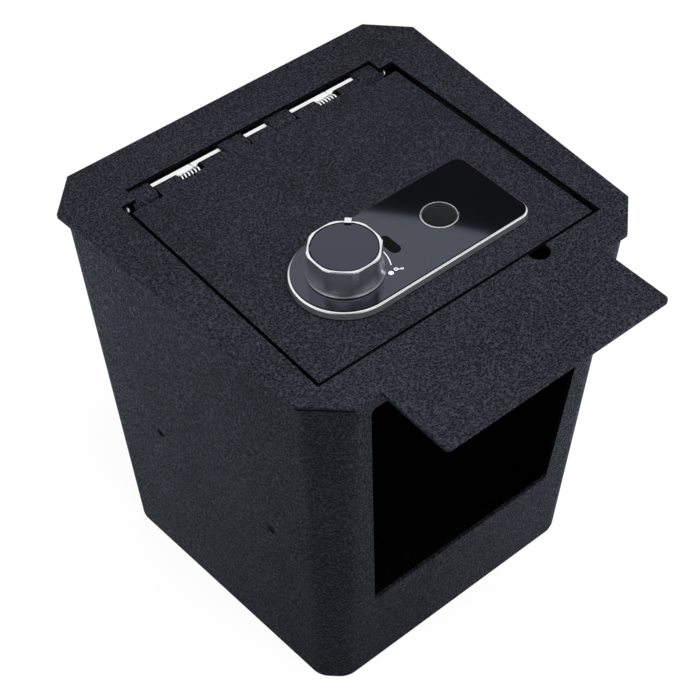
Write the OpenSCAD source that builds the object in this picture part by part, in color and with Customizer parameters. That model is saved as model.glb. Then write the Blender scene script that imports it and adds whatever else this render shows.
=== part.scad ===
// Console safe for a vehicle: a tapered steel tub that drops into the console bin,
// a rim plate with a front tongue, and a sprung lid with a knob and fingerprint lock.
// Origin: centre of the tub's underside. +X right, +Y to the hinge, +Z up.

/* [Tub] */
// Height from the floor's underside to the top of the rim plate
safe_h = 235.2; // [200:0.2:300]
// Width of the floor at its back edge
base_w = 189.4; // [185:0.2:230]
// Depth of the floor from front to back
base_d = 165.2; // [160:0.2:200]
// How much each side wall leans out from floor to rim
side_lean = 8.9; // [4:0.1:14]
// How much the front wall leans out from floor to rim
front_lean = 19.2; // [12:0.1:24]
// How much each side closes in for each millimetre towards the front
plan_taper = 0.075; // [0.04:0.005:0.09]
// Thickness of the sheet steel tub
wall_t = 2; // [1.5:0.1:2.5]
// Outside radius of the bend between floor and walls
floor_bend_r = 3.5; // [3:0.5:8]
// Leg of the corner facet at the floor
corner_base = 10; // [8:0.1:14]
// Leg of the corner facet under the rim
corner_top = 13.3; // [9:0.1:16]
// Thickness of the foam mat on the floor
mat_t = 3; // [2:0.5:5]

/* [Front window] */
// Height of the window's lower edge over the floor's underside
window_low = 64.2; // [50:0.2:100]
// Strip of front wall left between the window and the rim plate
window_drop = 8; // [6:0.5:14]
// Width of the window at its lower edge
window_low_w = 115; // [90:1:125]
// Width of the window at its upper edge
window_high_w = 133; // [100:1:138]
// Radius of the window's corners
window_r = 2.5; // [1.5:0.5:8]

/* [Mounting holes] */
// Diameter of the holes in the side walls
side_hole_d = 5; // [4:0.5:9]
// Distance between the two holes of a side wall
side_hole_pitch = 82; // [60:1:100]
// Height of the side holes over the floor's underside
side_hole_z = 112.2; // [80:0.2:140]
// Distance from the middle of a side pair to the tub's middle
side_hole_y = -10.35; // [-16:0.05:0]
// Diameter of the bolt holes in the floor
floor_hole_d = 8.5; // [6:0.5:11]
// Distance between the floor holes across the tub
floor_hole_x = 120; // [90:1:130]
// Distance between the floor holes from front to back
floor_hole_y = 100; // [80:1:110]
// Diameter of the clearance holes in the mat
mat_hole_d = 18; // [14:1:24]

/* [Rim plate] */
// Thickness of the rim plate and its tongue
rim_t = 2.5; // [2:0.1:3]
// How far the rim plate reaches past the tub's back wall
rim_back = 9.5; // [6:0.1:12]
// How far the rim plate reaches past the tub's front wall
rim_front = 1.1; // [0.5:0.1:3]
// Width of the rim plate at its back edge
rim_back_w = 214.2; // [209:0.2:250]
// Width of the rim plate at its front edge
rim_front_w = 187.2; // [183:0.2:210]
// How far the rim plate's outline sits to the right of the mouth
rim_shift = 0.9; // [0:0.1:1.2]
// Leg of the rim plate's corner facets at the back
rim_corner = 19; // [12:0.5:20]
// Leg of the rim plate's corner facets at the front
rim_nose = 16.5; // [12:0.5:20]
// Width of the front tongue
tongue_w = 125; // [100:1:140]
// How far the tongue reaches past the rim plate's front edge
tongue_l = 39.5; // [20:0.1:50]
// Radius of the tongue's tips
tongue_r = 2.5; // [1:0.5:6]

/* [Mouth and lid] */
// Width of the mouth in the rim plate
mouth_w = 160; // [158:1:166]
// Depth of the mouth from front to back
mouth_d = 142.2; // [138:0.2:144]
// Strip of rim between the mouth's front edge and the tub's front wall
mouth_front = 17.7; // [15:0.1:20]
// Mean gap between the lid and the mouth's sides
lid_gap = 2; // [1.6:0.05:2.4]
// How far the lid sits to the right in the mouth
lid_shift = 0.7; // [0:0.05:0.8]
// Gap between the lid and the mouth's front edge
lid_front_gap = 3; // [0.8:0.1:3.5]
// Thickness of the lid plate
lid_t = 2.5; // [2:0.1:3]
// Place of the finger notch across the front rim
notch_x = 41; // [38:0.5:55]
// Radius of the finger notch
notch_r = 5; // [4:0.5:7]
// How far the notch's centre lies in front of the mouth's edge
notch_in = 1.9; // [0.5:0.1:3]

/* [Hinge] */
// Outside radius of the rolled knuckles
knuckle_r = 3.6; // [3.3:0.1:4]
// Radius of the hinge pin
pin_r = 1.5; // [1.2:0.1:1.7]
// Length of the hinge pin
pin_l = 153.2; // [150:0.2:158]
// Running clearance between pin and knuckle
pin_fit = 0.05; // [0.03:0.01:0.08]
// Distance of the hinge axis behind the mouth's back edge
hinge_set = 2.6; // [2:0.1:3]
// Distance of the slot's back edge behind the mouth's back edge
slot_d = 8.3; // [8:0.1:10]
// Width of the hinge slot
slot_w = 144; // [140:1:150]
// Width of each fixed knuckle
tab_w = 13.5; // [10:0.5:14]
// Length of the straps behind the slot, under the rim plate
strap_l = 8; // [6:0.5:12]
// Distance of the inner fixed knuckles from the middle
tab_in = 13.7; // [12:0.1:15]
// Distance of the outer fixed knuckles from the middle
tab_out = 67; // [66:0.1:68.5]
// Side gap between neighbouring knuckles
knuckle_gap = 0.3; // [0.2:0.05:0.5]
// Thickness of the zinc plated hinge leaf
leaf_t = 1.5; // [1:0.1:2]
// Height of the leaf's flange on the back wall
leaf_drop = 20; // [12:1:30]

/* [Lid springs] */
// Distance of each spring's middle from the safe's middle
spring_x = 40.6; // [40:0.1:41.5]
// Length of each coil
spring_l = 12; // [10:0.2:12.4]
// Turns of each coil
spring_turns = 6; // [4:1:7]
// Radius of the spring wire
wire_r = 0.4; // [0.3:0.05:0.45]
// Gap between the pin and the coil
spring_fit = 0.15; // [0.1:0.05:0.2]
// Length of the leg under the lid
leg_front = 11; // [8:0.5:14]
// Length of the leg under the leaf
leg_back = 8; // [6:0.5:9]

/* [Lid rails] */
// Thickness of the bent rails under the mouth's sides
rail_t = 1.5; // [1:0.1:2]
// How far the rails reach in under the lid
rail_in = 6; // [4:0.5:8]
// Length of the rails
rail_l = 104; // [80:1:120]
// Thickness of the foam strip on each rail
rail_pad_t = 1; // [0.5:0.1:2]

/* [Lock panel] */
// Length of the lock panel
panel_l = 111; // [109:0.5:116]
// Width of the lock panel and of its round end
panel_w = 48.5; // [46:0.5:50]
// Height of the panel over the lid
panel_h = 4.8; // [4.5:0.1:6]
// How much the panel's foot is wider than its rim on each side
panel_draft = 1; // [0.4:0.1:1.4]
// Radius of the corners at the panel's square end
panel_r = 6; // [4:0.5:9]
// Width of the panel's ledge outside the pocket for the cover glass
bezel_rim = 0.9; // [0.7:0.1:1.6]
// How far the cover glass stands inside the panel's outline
glass_in = 0.2; // [0:0.1:0.5]
// Thickness of the glass where it laps over the ledge
glass_lap = 0.5; // [0.3:0.1:0.8]
// Thickness of the glossy face
face_t = 1.6; // [1.2:0.1:2]
// Distance of the panel's centre line behind the mouth's front edge
lock_in = 42.2; // [40:0.1:46]
// Place of the fingerprint sensor across the panel
sensor_x = 22.3; // [20:0.1:28]
// Outside radius of the ring round the sensor
sensor_r = 8.7; // [7:0.1:10]
// Width of the ring round the sensor
sensor_ring_w = 0.7; // [0.5:0.1:1.2]
// Place of the power port across the panel
port_x = -6.5; // [-8:0.1:-5]
// Length of the port's rubber plug
port_l = 12; // [11.5:0.1:14]
// Width of the port's rubber plug
port_w = 5; // [4.8:0.1:6]

/* [Knob] */
// Radius of the knob's foot
knob_r = 17.5; // [15:0.1:17.8]
// Radius of the knob's rim between two facets
knob_rim_r = 16.9; // [14.8:0.1:17.2]
// Height of the knob over the panel's face
knob_h = 14.3; // [12:0.1:18]
// Number of facets round the knob
knob_facets = 8; // [6:1:10]
// Distance from the knob's axis to a facet at the rim
knob_flat = 15.8; // [14:0.1:16.2]
// Radius of the dark cap in the knob
cap_r = 14.8; // [12:0.1:15]
// Width of the pointer on the rim
pointer_w = 3.2; // [2:0.1:4]
// How far the pointer stands over the rim
pointer_up = 0.6; // [0.3:0.1:1]
// Radius of the spindle
spindle_r = 4; // [3:0.1:4.5]

/* [Bolt work] */
// Radius at which the crank pin turns
crank_r = 7; // [6:0.1:7.5]
// Radius of the crank pin
crank_pin_r = 2; // [1.5:0.1:2.2]
// Radius of the crank disc
disc_r = 10; // [9.8:0.1:11]
// Thickness of the crank disc
disc_t = 4; // [3:0.1:4.5]
// Play of the crank pin in its slot
crank_play = 0.4; // [0.3:0.05:0.5]
// Thickness of the bolt plate
bolt_t = 2.3; // [2:0.1:3]
// Width of each bolt finger
finger_w = 16; // [12:0.5:18]
// Distance of each finger from the middle
finger_x = 22; // [20:0.5:24]
// Length of the straps that carry the fingers
guide_l = 8; // [6:0.5:10]
// Distance of these straps behind the lid's front edge
guide_in = 2.85; // [2:0.05:4]
// Thickness of these straps
guide_t = 1.5; // [1:0.1:2]
// Thickness of the folded strike channel
strike_t = 2; // [1.5:0.1:2.5]
// Depth of the strike channel from front to back
strike_d = 11.6; // [10:0.1:13]
// Radius of the blocking plunger
plunger_r = 1.5; // [1:0.1:1.7]
// Length of the blocking plunger
plunger_l = 21.35; // [18:0.05:24]
// Gap between the plunger's tip and the crank disc
plunger_gap = 0.35; // [0.3:0.05:0.6]
// Length of the solenoid
solenoid_l = 20; // [18:0.5:22]
// Width of the solenoid
solenoid_w = 10.6; // [8:0.1:11]
// Gap between parts that slide on each other
slide_gap = 0.3; // [0.2:0.05:0.35]

/* [Lock case] */
// Length of the lock case under the lid
case_l = 102; // [100:0.5:106]
// Width of the lock case
case_w = 50; // [48:0.5:54]
// Height of the lock case
case_h = 24; // [23:0.5:30]
// Wall of the lock case
case_t = 2; // [1.5:0.1:2.5]
// Thickness of the case's cover
cover_t = 2; // [1.5:0.1:2.5]
// Radius of the case screws
screw_r = 1.5; // [1.2:0.1:1.6]
// Distance of the case screws from the middle
screw_x = 42; // [41:0.5:43]
// Distance of the case screws from the panel's centre line
screw_y = 17; // [16:0.5:17.5]
// Radius of one battery
cell_r = 5.25; // [5:0.05:5.3]
// Length of one battery
cell_l = 44.5; // [42:0.5:45]

/* [Hidden] */
$fn = 48;

seat = 0.05;
cut = 1;

rim_low = safe_h - rim_t;
back_y = base_d / 2;
front_y = -back_y - front_lean;
mouth_low_y = front_y + mouth_front;
mouth_high_y = mouth_low_y + mouth_d;
slot_y = mouth_high_y + slot_d;

lid_top = rim_low;
lid_low = lid_top - lid_t;
lid_hw = mouth_w / 2 - lid_gap;
lid_front_y = mouth_low_y + lid_front_gap;

hinge_y = mouth_high_y + hinge_set;
hinge_z = rim_low - knuckle_r;
roll_t = knuckle_r - pin_r - pin_fit;
lid_back_y = hinge_y - 1.92 * knuckle_r;
tab_notch_y = hinge_y - 1.2 * knuckle_r;
tab_x = [-tab_out, -tab_in, tab_in, tab_out];
leaf_top = rim_low - roll_t - seat;
leaf_y = hinge_y + knuckle_r + knuckle_gap;
leaf_hw = slot_w / 2 + 2;
leaf_back_y = back_y - wall_t;

coil_r = pin_r + spring_fit + wire_r;
spring_room = spring_l / 2 + 0.6;

lock_y = mouth_low_y + lock_in;
panel_top = lid_top + panel_h;
knob_x = -panel_l / 2 + panel_w / 2;
face_top = panel_top;
face_low = face_top - face_t;
knob_low = face_top + slide_gap;
knob_top = knob_low + knob_h;
pointer_angle = 45;
bush_r = spindle_r + 2;

disc_top = lid_low - slide_gap;
disc_low = disc_top - disc_t;
bolt_top = disc_low - 0.5;
bolt_low = bolt_top - bolt_t;
pin_tip_x = knob_x + crank_r * cos(pointer_angle);
pin_tip_y = lock_y + crank_r * sin(pointer_angle);
bolt_throw = 2 * crank_r * sin(pointer_angle);
bar_back_y = lock_y - 0.5 * case_w + case_t + bolt_throw + 0.5 + bar_w();
plunger_z = disc_low + disc_t / 2;
solenoid_x = knob_x + disc_r + 10.2;
plunger_throw = 2.5;

case_low = lid_low - case_h;
cover_low = case_low - cover_t;
cell_pitch = 2 * cell_r + 0.1;
tray_x = screw_x - 4 - tray_l() / 2;
tray_hw = 2 * cell_pitch + 1.2;
tray_top = case_low + 2 * cell_r + 0.8 + 1.2;

function bar_w() = 6;
function tray_l() = cell_l + 1.4 + 2.4;

// How far up the wall a height lies, 0 at the floor and 1 under the rim
function rise(z) = z / rim_low;
// Half width of the tub at its back edge, at a height
function back_hw(z) = base_w / 2 + side_lean * rise(z);
// Half width of the tub at any depth, at a height
function side_hw(y, z) = back_hw(z) - plan_taper * (back_y - y);
// Eight corners of a plan that narrows towards the front, with faceted corners
function plan(yb, yf, hb, slope, leg, nose) =
    let (s = sqrt(1 + slope * slope), hf = hb - slope * (yb - yf))
    [
        [-hb + leg, yb], [-hb + leg * slope / s, yb - leg / s],
        [-hf - nose * slope / s, yf + nose / s], [-hf + nose, yf],
        [hf - nose, yf], [hf + nose * slope / s, yf + nose / s],
        [hb - leg * slope / s, yb - leg / s], [hb - leg, yb]
    ];
// One ring of the tub at a height, moved inwards by an inset
function tub_ring(z, inset) =
    let (
        yb = back_y - inset,
        yf = -back_y - front_lean * rise(z) + inset,
        hb = back_hw(z) - plan_taper * inset - inset * sqrt(1 + plan_taper * plan_taper),
        leg = corner_base + (corner_top - corner_base) * rise(z) - inset * (2 - sqrt(2))
    )
    [for (p = plan(yb, yf, hb, plan_taper, leg, leg)) [p[0], p[1], z]];
// Rings of a tub skin that starts at z0 with a rounded lower edge
function tub_rings(z0, z1, inset, r) = concat(
    [for (a = [0:22.5:90]) tub_ring(z0 + r * (1 - cos(a)), inset + r * (1 - sin(a)))],
    [tub_ring(z1, inset)]
);
// Position on the spring wire's centre line: leg, coil and leg as one curve
function spring_path() =
    let (
        steps = 8 * spring_turns,
        x0 = -spring_l / 2 + wire_r,
        x1 = spring_l / 2 - wire_r,
        up_front = lid_low - hinge_z - wire_r - slide_gap + coil_r,
        up_back = leaf_top - leaf_t - hinge_z - wire_r - slide_gap + coil_r
    )
    concat(
        [for (i = [4:-1:1])
            let (f = i / 4)
            [x0, -leg_front * f, -coil_r + up_front * f * f]],
        [for (i = [0:steps])
            let (f = i / steps, a = -90 + 360 * spring_turns * f)
            [x0 + (x1 - x0) * f, coil_r * cos(a), coil_r * sin(a)]],
        [for (i = [1:3])
            let (f = i / 3)
            [x1, leg_back * f, -coil_r + up_back * f * f]]
    );
// Smallest gap between one turn of the coil and the next, measured on its points
function coil_gap(path) = min([
    for (i = [4:len(path) - 12])
        norm(path[i + 8] - path[i]) - 2 * wire_r
]);

// Tube of six sides along a path of points
module tube(path, r) {
    n = len(path);
    dirs = [for (i = [0:n - 1])
        let (d = path[min(i + 1, n - 1)] - path[max(i - 1, 0)])
        d / norm(d)];
    pts = [for (i = [0:n - 1])
        let (
            t = dirs[i],
            u0 = cross(t, [1, 0.12, 0.05]),
            u = u0 / norm(u0),
            v = cross(t, u)
        )
        for (k = [0:5]) path[i] + r * (cos(60 * k) * u + sin(60 * k) * v)];
    walls = [for (i = [0:n - 2]) for (k = [0:5])
        let (a = 6 * i + k, b = 6 * i + (k + 1) % 6)
        each [[a, a + 6, b], [b, a + 6, b + 6]]];
    first = [for (k = [1:4]) [0, k, k + 1]];
    last = [for (k = [1:4]) [6 * n - 6, 6 * n - 6 + k + 1, 6 * n - 6 + k]];
    polyhedron(pts, concat(walls, first, last), convexity = 10);
}

// Closed skin through rings of eight points each
module loft(rings) {
    n = len(rings);
    pts = [for (ring = rings) each ring];
    walls = [for (i = [0:n - 2]) for (k = [0:7])
        let (a = 8 * i + k, b = 8 * i + (k + 1) % 8)
        each [[a, a + 8, b], [b, a + 8, b + 8]]];
    low = [for (k = [1:6]) [0, k, k + 1]];
    high = [for (k = [1:6]) [8 * n - 8, 8 * n - 8 + k + 1, 8 * n - 8 + k]];
    polyhedron(pts, concat(walls, low, high), convexity = 10);
}

// Upright slab of a flat outline between two heights
module slab(z0, z1) {
    translate([0, 0, z0])
    linear_extrude(z1 - z0)
    children();
}

// Piece with its profile in the Y and Z directions, run along X
module along_x(x0, x1) {
    translate([x0, 0, 0])
    rotate([90, 0, 90])
    linear_extrude(x1 - x0)
    children();
}

// Round bar or hole along X
module bar_x(x0, x1, y, z, r) {
    translate([x0, y, z])
    rotate([0, 90, 0])
    cylinder(r = r, h = x1 - x0);
}

// Upright round bar or hole
module post(x, y, z0, z1, r) {
    translate([x, y, z0])
    cylinder(r = r, h = z1 - z0);
}

// Flat rectangle from corner to corner
module patch(x0, x1, y0, y1) {
    translate([x0, y0])
    square([x1 - x0, y1 - y0]);
}

// Long hole with round ends, its length along Y
module capsule(x, y, l, w) {
    translate([x, y]) {
        square([w, l - w], center = true);
        for (s = [-1, 1])
            translate([0, s * (l - w) / 2])
            circle(d = w);
    }
}

// Outline of the lock panel, moved in from its rim by an inset
module panel_outline(inset) {
    w = panel_w / 2 - inset;
    r = max(panel_r - inset, 1);
    x1 = panel_l / 2 - inset;
    translate([knob_x, lock_y])
    circle(r = w, $fn = 96);
    patch(knob_x, x1 - r, lock_y - w, lock_y + w);
    patch(x1 - r - 1, x1, lock_y - w + r, lock_y + w - r);
    for (s = [-1, 1])
        translate([x1 - r, lock_y + s * (w - r)])
        circle(r = r);
}

module case_outline(inset) {
    hl = case_l / 2 - inset;
    hw = case_w / 2 - inset;
    patch(-hl, hl, lock_y - hw, lock_y + hw);
}

// The four places of the case screws
module screw_places() {
    for (sx = [-1, 1])
        for (sy = [-1, 1])
            translate([sx * screw_x, lock_y + sy * screw_y])
            children();
}

// Round knuckle round the hinge pin
module knuckle(x0, x1) {
    difference() {
        bar_x(x0, x1, hinge_y, hinge_z, knuckle_r);
        bar_x(x0 - cut, x1 + cut, hinge_y, hinge_z, pin_r + pin_fit);
    }
}

// Tapered tub, folded and welded from sheet, with its window and bolt holes
module tub_shell() {
    window_top = rim_low - window_drop;
    color("#2f3238")
    difference() {
        loft(tub_rings(0, rim_low, 0, floor_bend_r));
        loft(tub_rings(wall_t, rim_low + cut, wall_t, floor_bend_r - wall_t));
        translate([0, -back_y + 2 * wall_t, 0])
        rotate([90, 0, 0])
        linear_extrude(front_lean + 4 * wall_t)
        hull()
        for (s = [-1, 1]) {
            translate([s * (window_low_w / 2 - window_r), window_low + window_r])
            circle(r = window_r, $fn = 32);
            translate([s * (window_high_w / 2 - window_r), window_top - window_r])
            circle(r = window_r, $fn = 32);
        }
        for (s = [-1, 1])
            bar_x(-base_w, base_w, side_hole_y + s * side_hole_pitch / 2, side_hole_z,
                side_hole_d / 2);
        for (sx = [-1, 1])
            for (sy = [-1, 1])
                post(sx * floor_hole_x / 2, sy * floor_hole_y / 2, -cut, wall_t + cut,
                    floor_hole_d / 2);
    }
}

// Foam mat with clearance for the heads of the floor bolts
module floor_mat() {
    inset = floor_bend_r + 0.5;
    color("#17181a")
    difference() {
        slab(wall_t, wall_t + mat_t)
        polygon([for (p = tub_ring(wall_t, inset)) [p[0], p[1]]]);
        for (sx = [-1, 1])
            for (sy = [-1, 1])
                post(sx * floor_hole_x / 2, sy * floor_hole_y / 2, 0, wall_t + mat_t + cut,
                    mat_hole_d / 2);
    }
}

// Rim plate with faceted corners, the mouth, hinge slot, finger notch and tongue
module top_frame() {
    yb = back_y + rim_back;
    yf = front_y - rim_front;
    slope = (rim_back_w - rim_front_w) / 2 / (yb - yf);
    color("#2f3238")
    slab(rim_low, safe_h)
    difference() {
        union() {
            translate([rim_shift, 0])
            polygon(plan(yb, yf, rim_back_w / 2, slope, rim_corner, rim_nose));
            patch(-tongue_w / 2, tongue_w / 2, yf - tongue_l + tongue_r, yf + cut);
            patch(-tongue_w / 2 + tongue_r, tongue_w / 2 - tongue_r, yf - tongue_l, yf);
            for (s = [-1, 1])
                translate([s * (tongue_w / 2 - tongue_r), yf - tongue_l + tongue_r])
                circle(r = tongue_r);
        }
        patch(-mouth_w / 2, mouth_w / 2, mouth_low_y, mouth_high_y);
        patch(-slot_w / 2, slot_w / 2, mouth_high_y - cut, slot_y);
        translate([notch_x, mouth_low_y - notch_in])
        circle(r = notch_r);
        patch(notch_x - notch_r, notch_x + notch_r, mouth_low_y - notch_in,
            mouth_low_y + cut);
    }
}

// Folded channel under the front rim that holds the bolt fingers down
module strike_channel() {
    y1 = mouth_low_y - slide_gap;
    y0 = y1 - strike_d;
    z0 = bolt_top + slide_gap;
    hw = finger_x + finger_w / 2 + 4;
    color("#3a3d42")
    along_x(-hw, hw)
    difference() {
        patch(y0, y1, z0, rim_low);
        patch(y0 + strike_t, y1 - strike_t, z0 + strike_t, rim_low + cut);
    }
}

// Bent rails, welded under the mouth's sides, that the lid lies on
module rest_rails() {
    x1 = mouth_w / 2 + 0.5;
    z1 = lid_low - slide_gap - rail_pad_t;
    color("#3a3d42")
    for (s = [0, 1])
        mirror([s, 0, 0])
        translate([0, (mouth_low_y + mouth_high_y - rail_l) / 2 + rail_l, 0])
        rotate([90, 0, 0])
        linear_extrude(rail_l) {
            patch(x1 - rail_in, x1 + rail_t, z1 - rail_t, z1);
            patch(x1, x1 + rail_t, z1 - rail_t, rim_low);
            patch(x1, x1 + rail_t + 5, rim_low - rail_t, rim_low);
        }
}

// Foam strips on the rails
module rail_pads() {
    x1 = mouth_w / 2 + 0.5;
    z0 = lid_low - slide_gap - rail_pad_t;
    color("#17181a")
    for (s = [0, 1])
        mirror([s, 0, 0])
        translate([x1 - rail_in, (mouth_low_y + mouth_high_y - rail_l) / 2, z0])
        cube([rail_in - 0.5, rail_l, rail_pad_t]);
}

// Four fixed knuckles, rolled from straps that are welded under the rim plate
module hinge_tabs() {
    color("#26282c")
    for (x = tab_x) {
        x0 = x - tab_w / 2;
        difference() {
            union() {
                bar_x(x0, x0 + tab_w, hinge_y, hinge_z, knuckle_r);
                translate([x0, hinge_y, rim_low - roll_t])
                cube([tab_w, slot_y + strap_l - hinge_y, roll_t]);
            }
            bar_x(x0 - cut, x0 + tab_w + cut, hinge_y, hinge_z, pin_r + pin_fit);
        }
    }
}

// Zinc plated leaf behind the knuckles, bent down and welded to the back wall
module hinge_leaf() {
    lug_y = hinge_y + coil_r + wire_r + 0.4;
    lug_w = spring_l - 1;
    lug_root = spring_room - 0.2;
    color("#dcdfe4") {
        difference() {
            slab(leaf_top - leaf_t, leaf_top) {
                patch(-leaf_hw, leaf_hw, leaf_y, leaf_back_y);
                for (s = [-1, 1])
                    translate([s * spring_x, 0])
                    polygon([
                        [-lug_root, leaf_y + 1], [-lug_root, leaf_y],
                        [-lug_w / 2, lug_y], [lug_w / 2, lug_y],
                        [lug_root, leaf_y], [lug_root, leaf_y + 1]
                    ]);
            }
            for (s = [-1, 1])
                translate([spring_x * s + 0.37 * lug_w, lug_y - cut, leaf_top - leaf_t - cut])
                rotate([0, 0, 14])
                cube([0.8, 3.4 + cut, leaf_t + 2 * cut]);
        }
        translate([-leaf_hw, leaf_back_y - leaf_t, leaf_top - leaf_drop])
        cube([2 * leaf_hw, leaf_t, leaf_drop]);
    }
}

module hinge_pin() {
    color("#c9ccd1")
    bar_x(-pin_l / 2, pin_l / 2, hinge_y, hinge_z, pin_r);
}

module lid_spring() {
    translate([spring_x, hinge_y, hinge_z])
    tube(spring_path(), wire_r);
}

module spring_left() {
    color("#d5d8dc")
    mirror([1, 0, 0])
    lid_spring();
}

module spring_right() {
    echo(coil_gap_mm = coil_gap(spring_path()));
    color("#d5d8dc")
    lid_spring();
}

// Lid plate with its rolled knuckles, cut round the fixed ones and the springs
module lid_plate() {
    tab_room = tab_w / 2 + knuckle_gap;
    roll_x = [
        [-tab_out + tab_room, -spring_x - spring_room],
        [-spring_x + spring_room, -tab_in - tab_room],
        [-tab_in + tab_room, tab_in - tab_room],
        [tab_in + tab_room, spring_x - spring_room],
        [spring_x + spring_room, tab_out - tab_room]
    ];
    color("#2f3238")
    difference() {
        union() {
            slab(lid_low, lid_top)
            difference() {
                union() {
                    patch(lid_shift - lid_hw, lid_shift + lid_hw, lid_front_y, lid_back_y);
                    patch(-tab_out + tab_room, tab_out - tab_room, lid_back_y - cut,
                        hinge_y);
                }
                for (x = tab_x)
                    patch(x - tab_room, x + tab_room, min(tab_notch_y, hinge_y),
                        hinge_y + cut);
                for (x = [-spring_x, spring_x])
                    patch(x - spring_room, x + spring_room, hinge_y - 0.92 * knuckle_r,
                        hinge_y + cut);
            }
            for (r = roll_x)
                bar_x(r[0], r[1], hinge_y, hinge_z, knuckle_r);
        }
        bar_x(-mouth_w / 2, mouth_w / 2, hinge_y, hinge_z, pin_r + pin_fit);
        post(knob_x, lock_y, lid_low - cut, lid_top + cut, bush_r + seat);
        post(sensor_x, lock_y, lid_low - cut, lid_top + cut, 0.5 * sensor_r);
        screw_places()
        translate([0, 0, lid_low - cut])
        cylinder(r = screw_r + 0.1, h = lid_t + 2 * cut);
    }
}

// Die-cast housing of the lock panel with a bright rim and a pocket for the face
module lock_bezel() {
    color("#b9bcc2")
    difference() {
        hull() {
            slab(lid_top, panel_top - 1.7)
            panel_outline(-panel_draft);
            slab(panel_top - 0.95, panel_top - 0.85)
            panel_outline(-0.65 * panel_draft);
            slab(panel_top - glass_lap - 0.1, panel_top - glass_lap - seat)
            panel_outline(glass_in);
        }
        slab(face_low, panel_top + cut)
        panel_outline(bezel_rim);
        post(knob_x, lock_y, lid_top - cut, panel_top, bush_r + seat);
        post(sensor_x, lock_y, lid_top - cut, panel_top, sensor_r - sensor_ring_w - 2);
        slab(lid_top - cut, panel_top)
        capsule(port_x, lock_y, port_l - 2.6, port_w - 1.4);
        screw_places()
        translate([0, 0, lid_top - cut])
        cylinder(r = screw_r + seat, h = 2.8 + cut);
    }
}

// Glossy cover glass, let into the panel and lapping over its ledge, with its holes for knob, sensor and port
module lock_face() {
    color("#141517")
    difference() {
        union() {
            slab(face_low, face_top)
            panel_outline(bezel_rim + 0.3);
            slab(face_top - glass_lap, face_top)
            panel_outline(glass_in);
        }
        post(knob_x, lock_y, face_low - cut, face_top + cut, bush_r + 2 * seat);
        post(sensor_x, lock_y, face_low - cut, face_top + cut, sensor_r + seat);
        slab(face_low - cut, face_top + cut)
        capsule(port_x, lock_y, port_l + 2 * seat, port_w + 2 * seat);
    }
}

module sensor_ring() {
    color("#c9ccd1")
    translate([sensor_x, lock_y, 0])
    slab(face_low, face_top + 0.15)
    difference() {
        circle(r = sensor_r);
        circle(r = sensor_r - sensor_ring_w);
    }
}

// Touch pad of the fingerprint sensor, slightly dished
module sensor_pad() {
    r = sensor_r - sensor_ring_w - seat;
    color("#1b1c1f")
    translate([sensor_x, lock_y, face_low])
    rotate_extrude()
    polygon([
        [0, 0], [r, 0], [r, face_t - 0.35], [r - 0.5, face_t - 0.1],
        [r - 1.2, face_t - 0.25], [0, face_t - 0.4]
    ]);
}

// Metal shell of the emergency power port
module port_socket() {
    l = port_l - 2.6 - 2 * seat;
    w = port_w - 1.4 - 2 * seat;
    color("#a8abb0")
    difference() {
        slab(lid_top, face_low - 0.2)
        capsule(port_x, lock_y, l, w);
        slab(lid_top + 0.6, face_low)
        capsule(port_x, lock_y, l - 0.6, w - 0.6);
    }
}

// Rubber plug of the power port, pulled straight up
module port_plug() {
    l = port_l - 2.6 - 2 * seat - 0.8;
    w = port_w - 1.4 - 2 * seat - 0.8;
    color("#121314") {
        slab(face_low, face_top + 0.1)
        capsule(port_x, lock_y, port_l - 2 * seat, port_w - 2 * seat);
        slab(lid_top + 1, face_low + 0.1)
        capsule(port_x, lock_y, l, w);
    }
}

// Knob with a round foot and leaning facets that die out towards it
module knob_shell() {
    lean = atan((knob_r - knob_flat) / (knob_h - 1.6));
    color("#c4c7cc")
    translate([knob_x, lock_y, knob_low])
    difference() {
        rotate_extrude($fn = 96)
        polygon([
            [0, 0], [knob_r - 0.5, 0], [knob_r, 0.5], [knob_r, 1.4],
            [knob_rim_r, knob_h - 0.5], [knob_rim_r - 0.4, knob_h],
            [cap_r + 0.4, knob_h], [cap_r + 0.1, knob_h - 0.3],
            [cap_r + 0.1, knob_h - 1.6], [0, knob_h - 1.6]
        ]);
        for (k = [0:knob_facets - 1])
            rotate([0, 0, pointer_angle + k * 360 / knob_facets])
            translate([knob_flat, 0, knob_h])
            rotate([0, -lean, 0])
            translate([0, -knob_r, -2 * knob_h])
            cube([knob_r, 2 * knob_r, 4 * knob_h]);
        translate([0, 0, -cut])
        cylinder(r = spindle_r + seat, h = spindle_up() + seat + cut);
        pointer_block(seat, cut);
    }
}

// Block of the pointer, as made or as the seat that it is let into
module pointer_block(gap, over) {
    rotate([0, 0, pointer_angle])
    translate([cap_r - 1 - gap, -pointer_w / 2 - gap, knob_h - 1 - gap])
    cube([3.3 + 2 * gap + over, pointer_w + 2 * gap, 1 + pointer_up + gap + over]);
}

function spindle_up() = knob_h - 4;

module knob_pointer() {
    color("#e6e8eb")
    translate([knob_x, lock_y, knob_low])
    pointer_block(0, 0);
}

module knob_cap() {
    color("#3c3e46")
    translate([knob_x, lock_y, knob_low])
    difference() {
        translate([0, 0, knob_h - 1.6])
        cylinder(r = cap_r, h = 1.3, $fn = 96);
        pointer_block(seat, cut);
    }
}

// Round spindle with a flat at its lower end that drives the crank disc
module spindle_shape(r, low, high) {
    difference() {
        translate([0, 0, low])
        cylinder(r = r, h = high - low);
        translate([0.7 * r, -r, low - cut])
        cube([r, 2 * r, disc_top - low + cut]);
    }
}

module spindle() {
    color("#9a9da2")
    translate([knob_x, lock_y, 0])
    spindle_shape(spindle_r, disc_low, knob_low + spindle_up());
}

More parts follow.
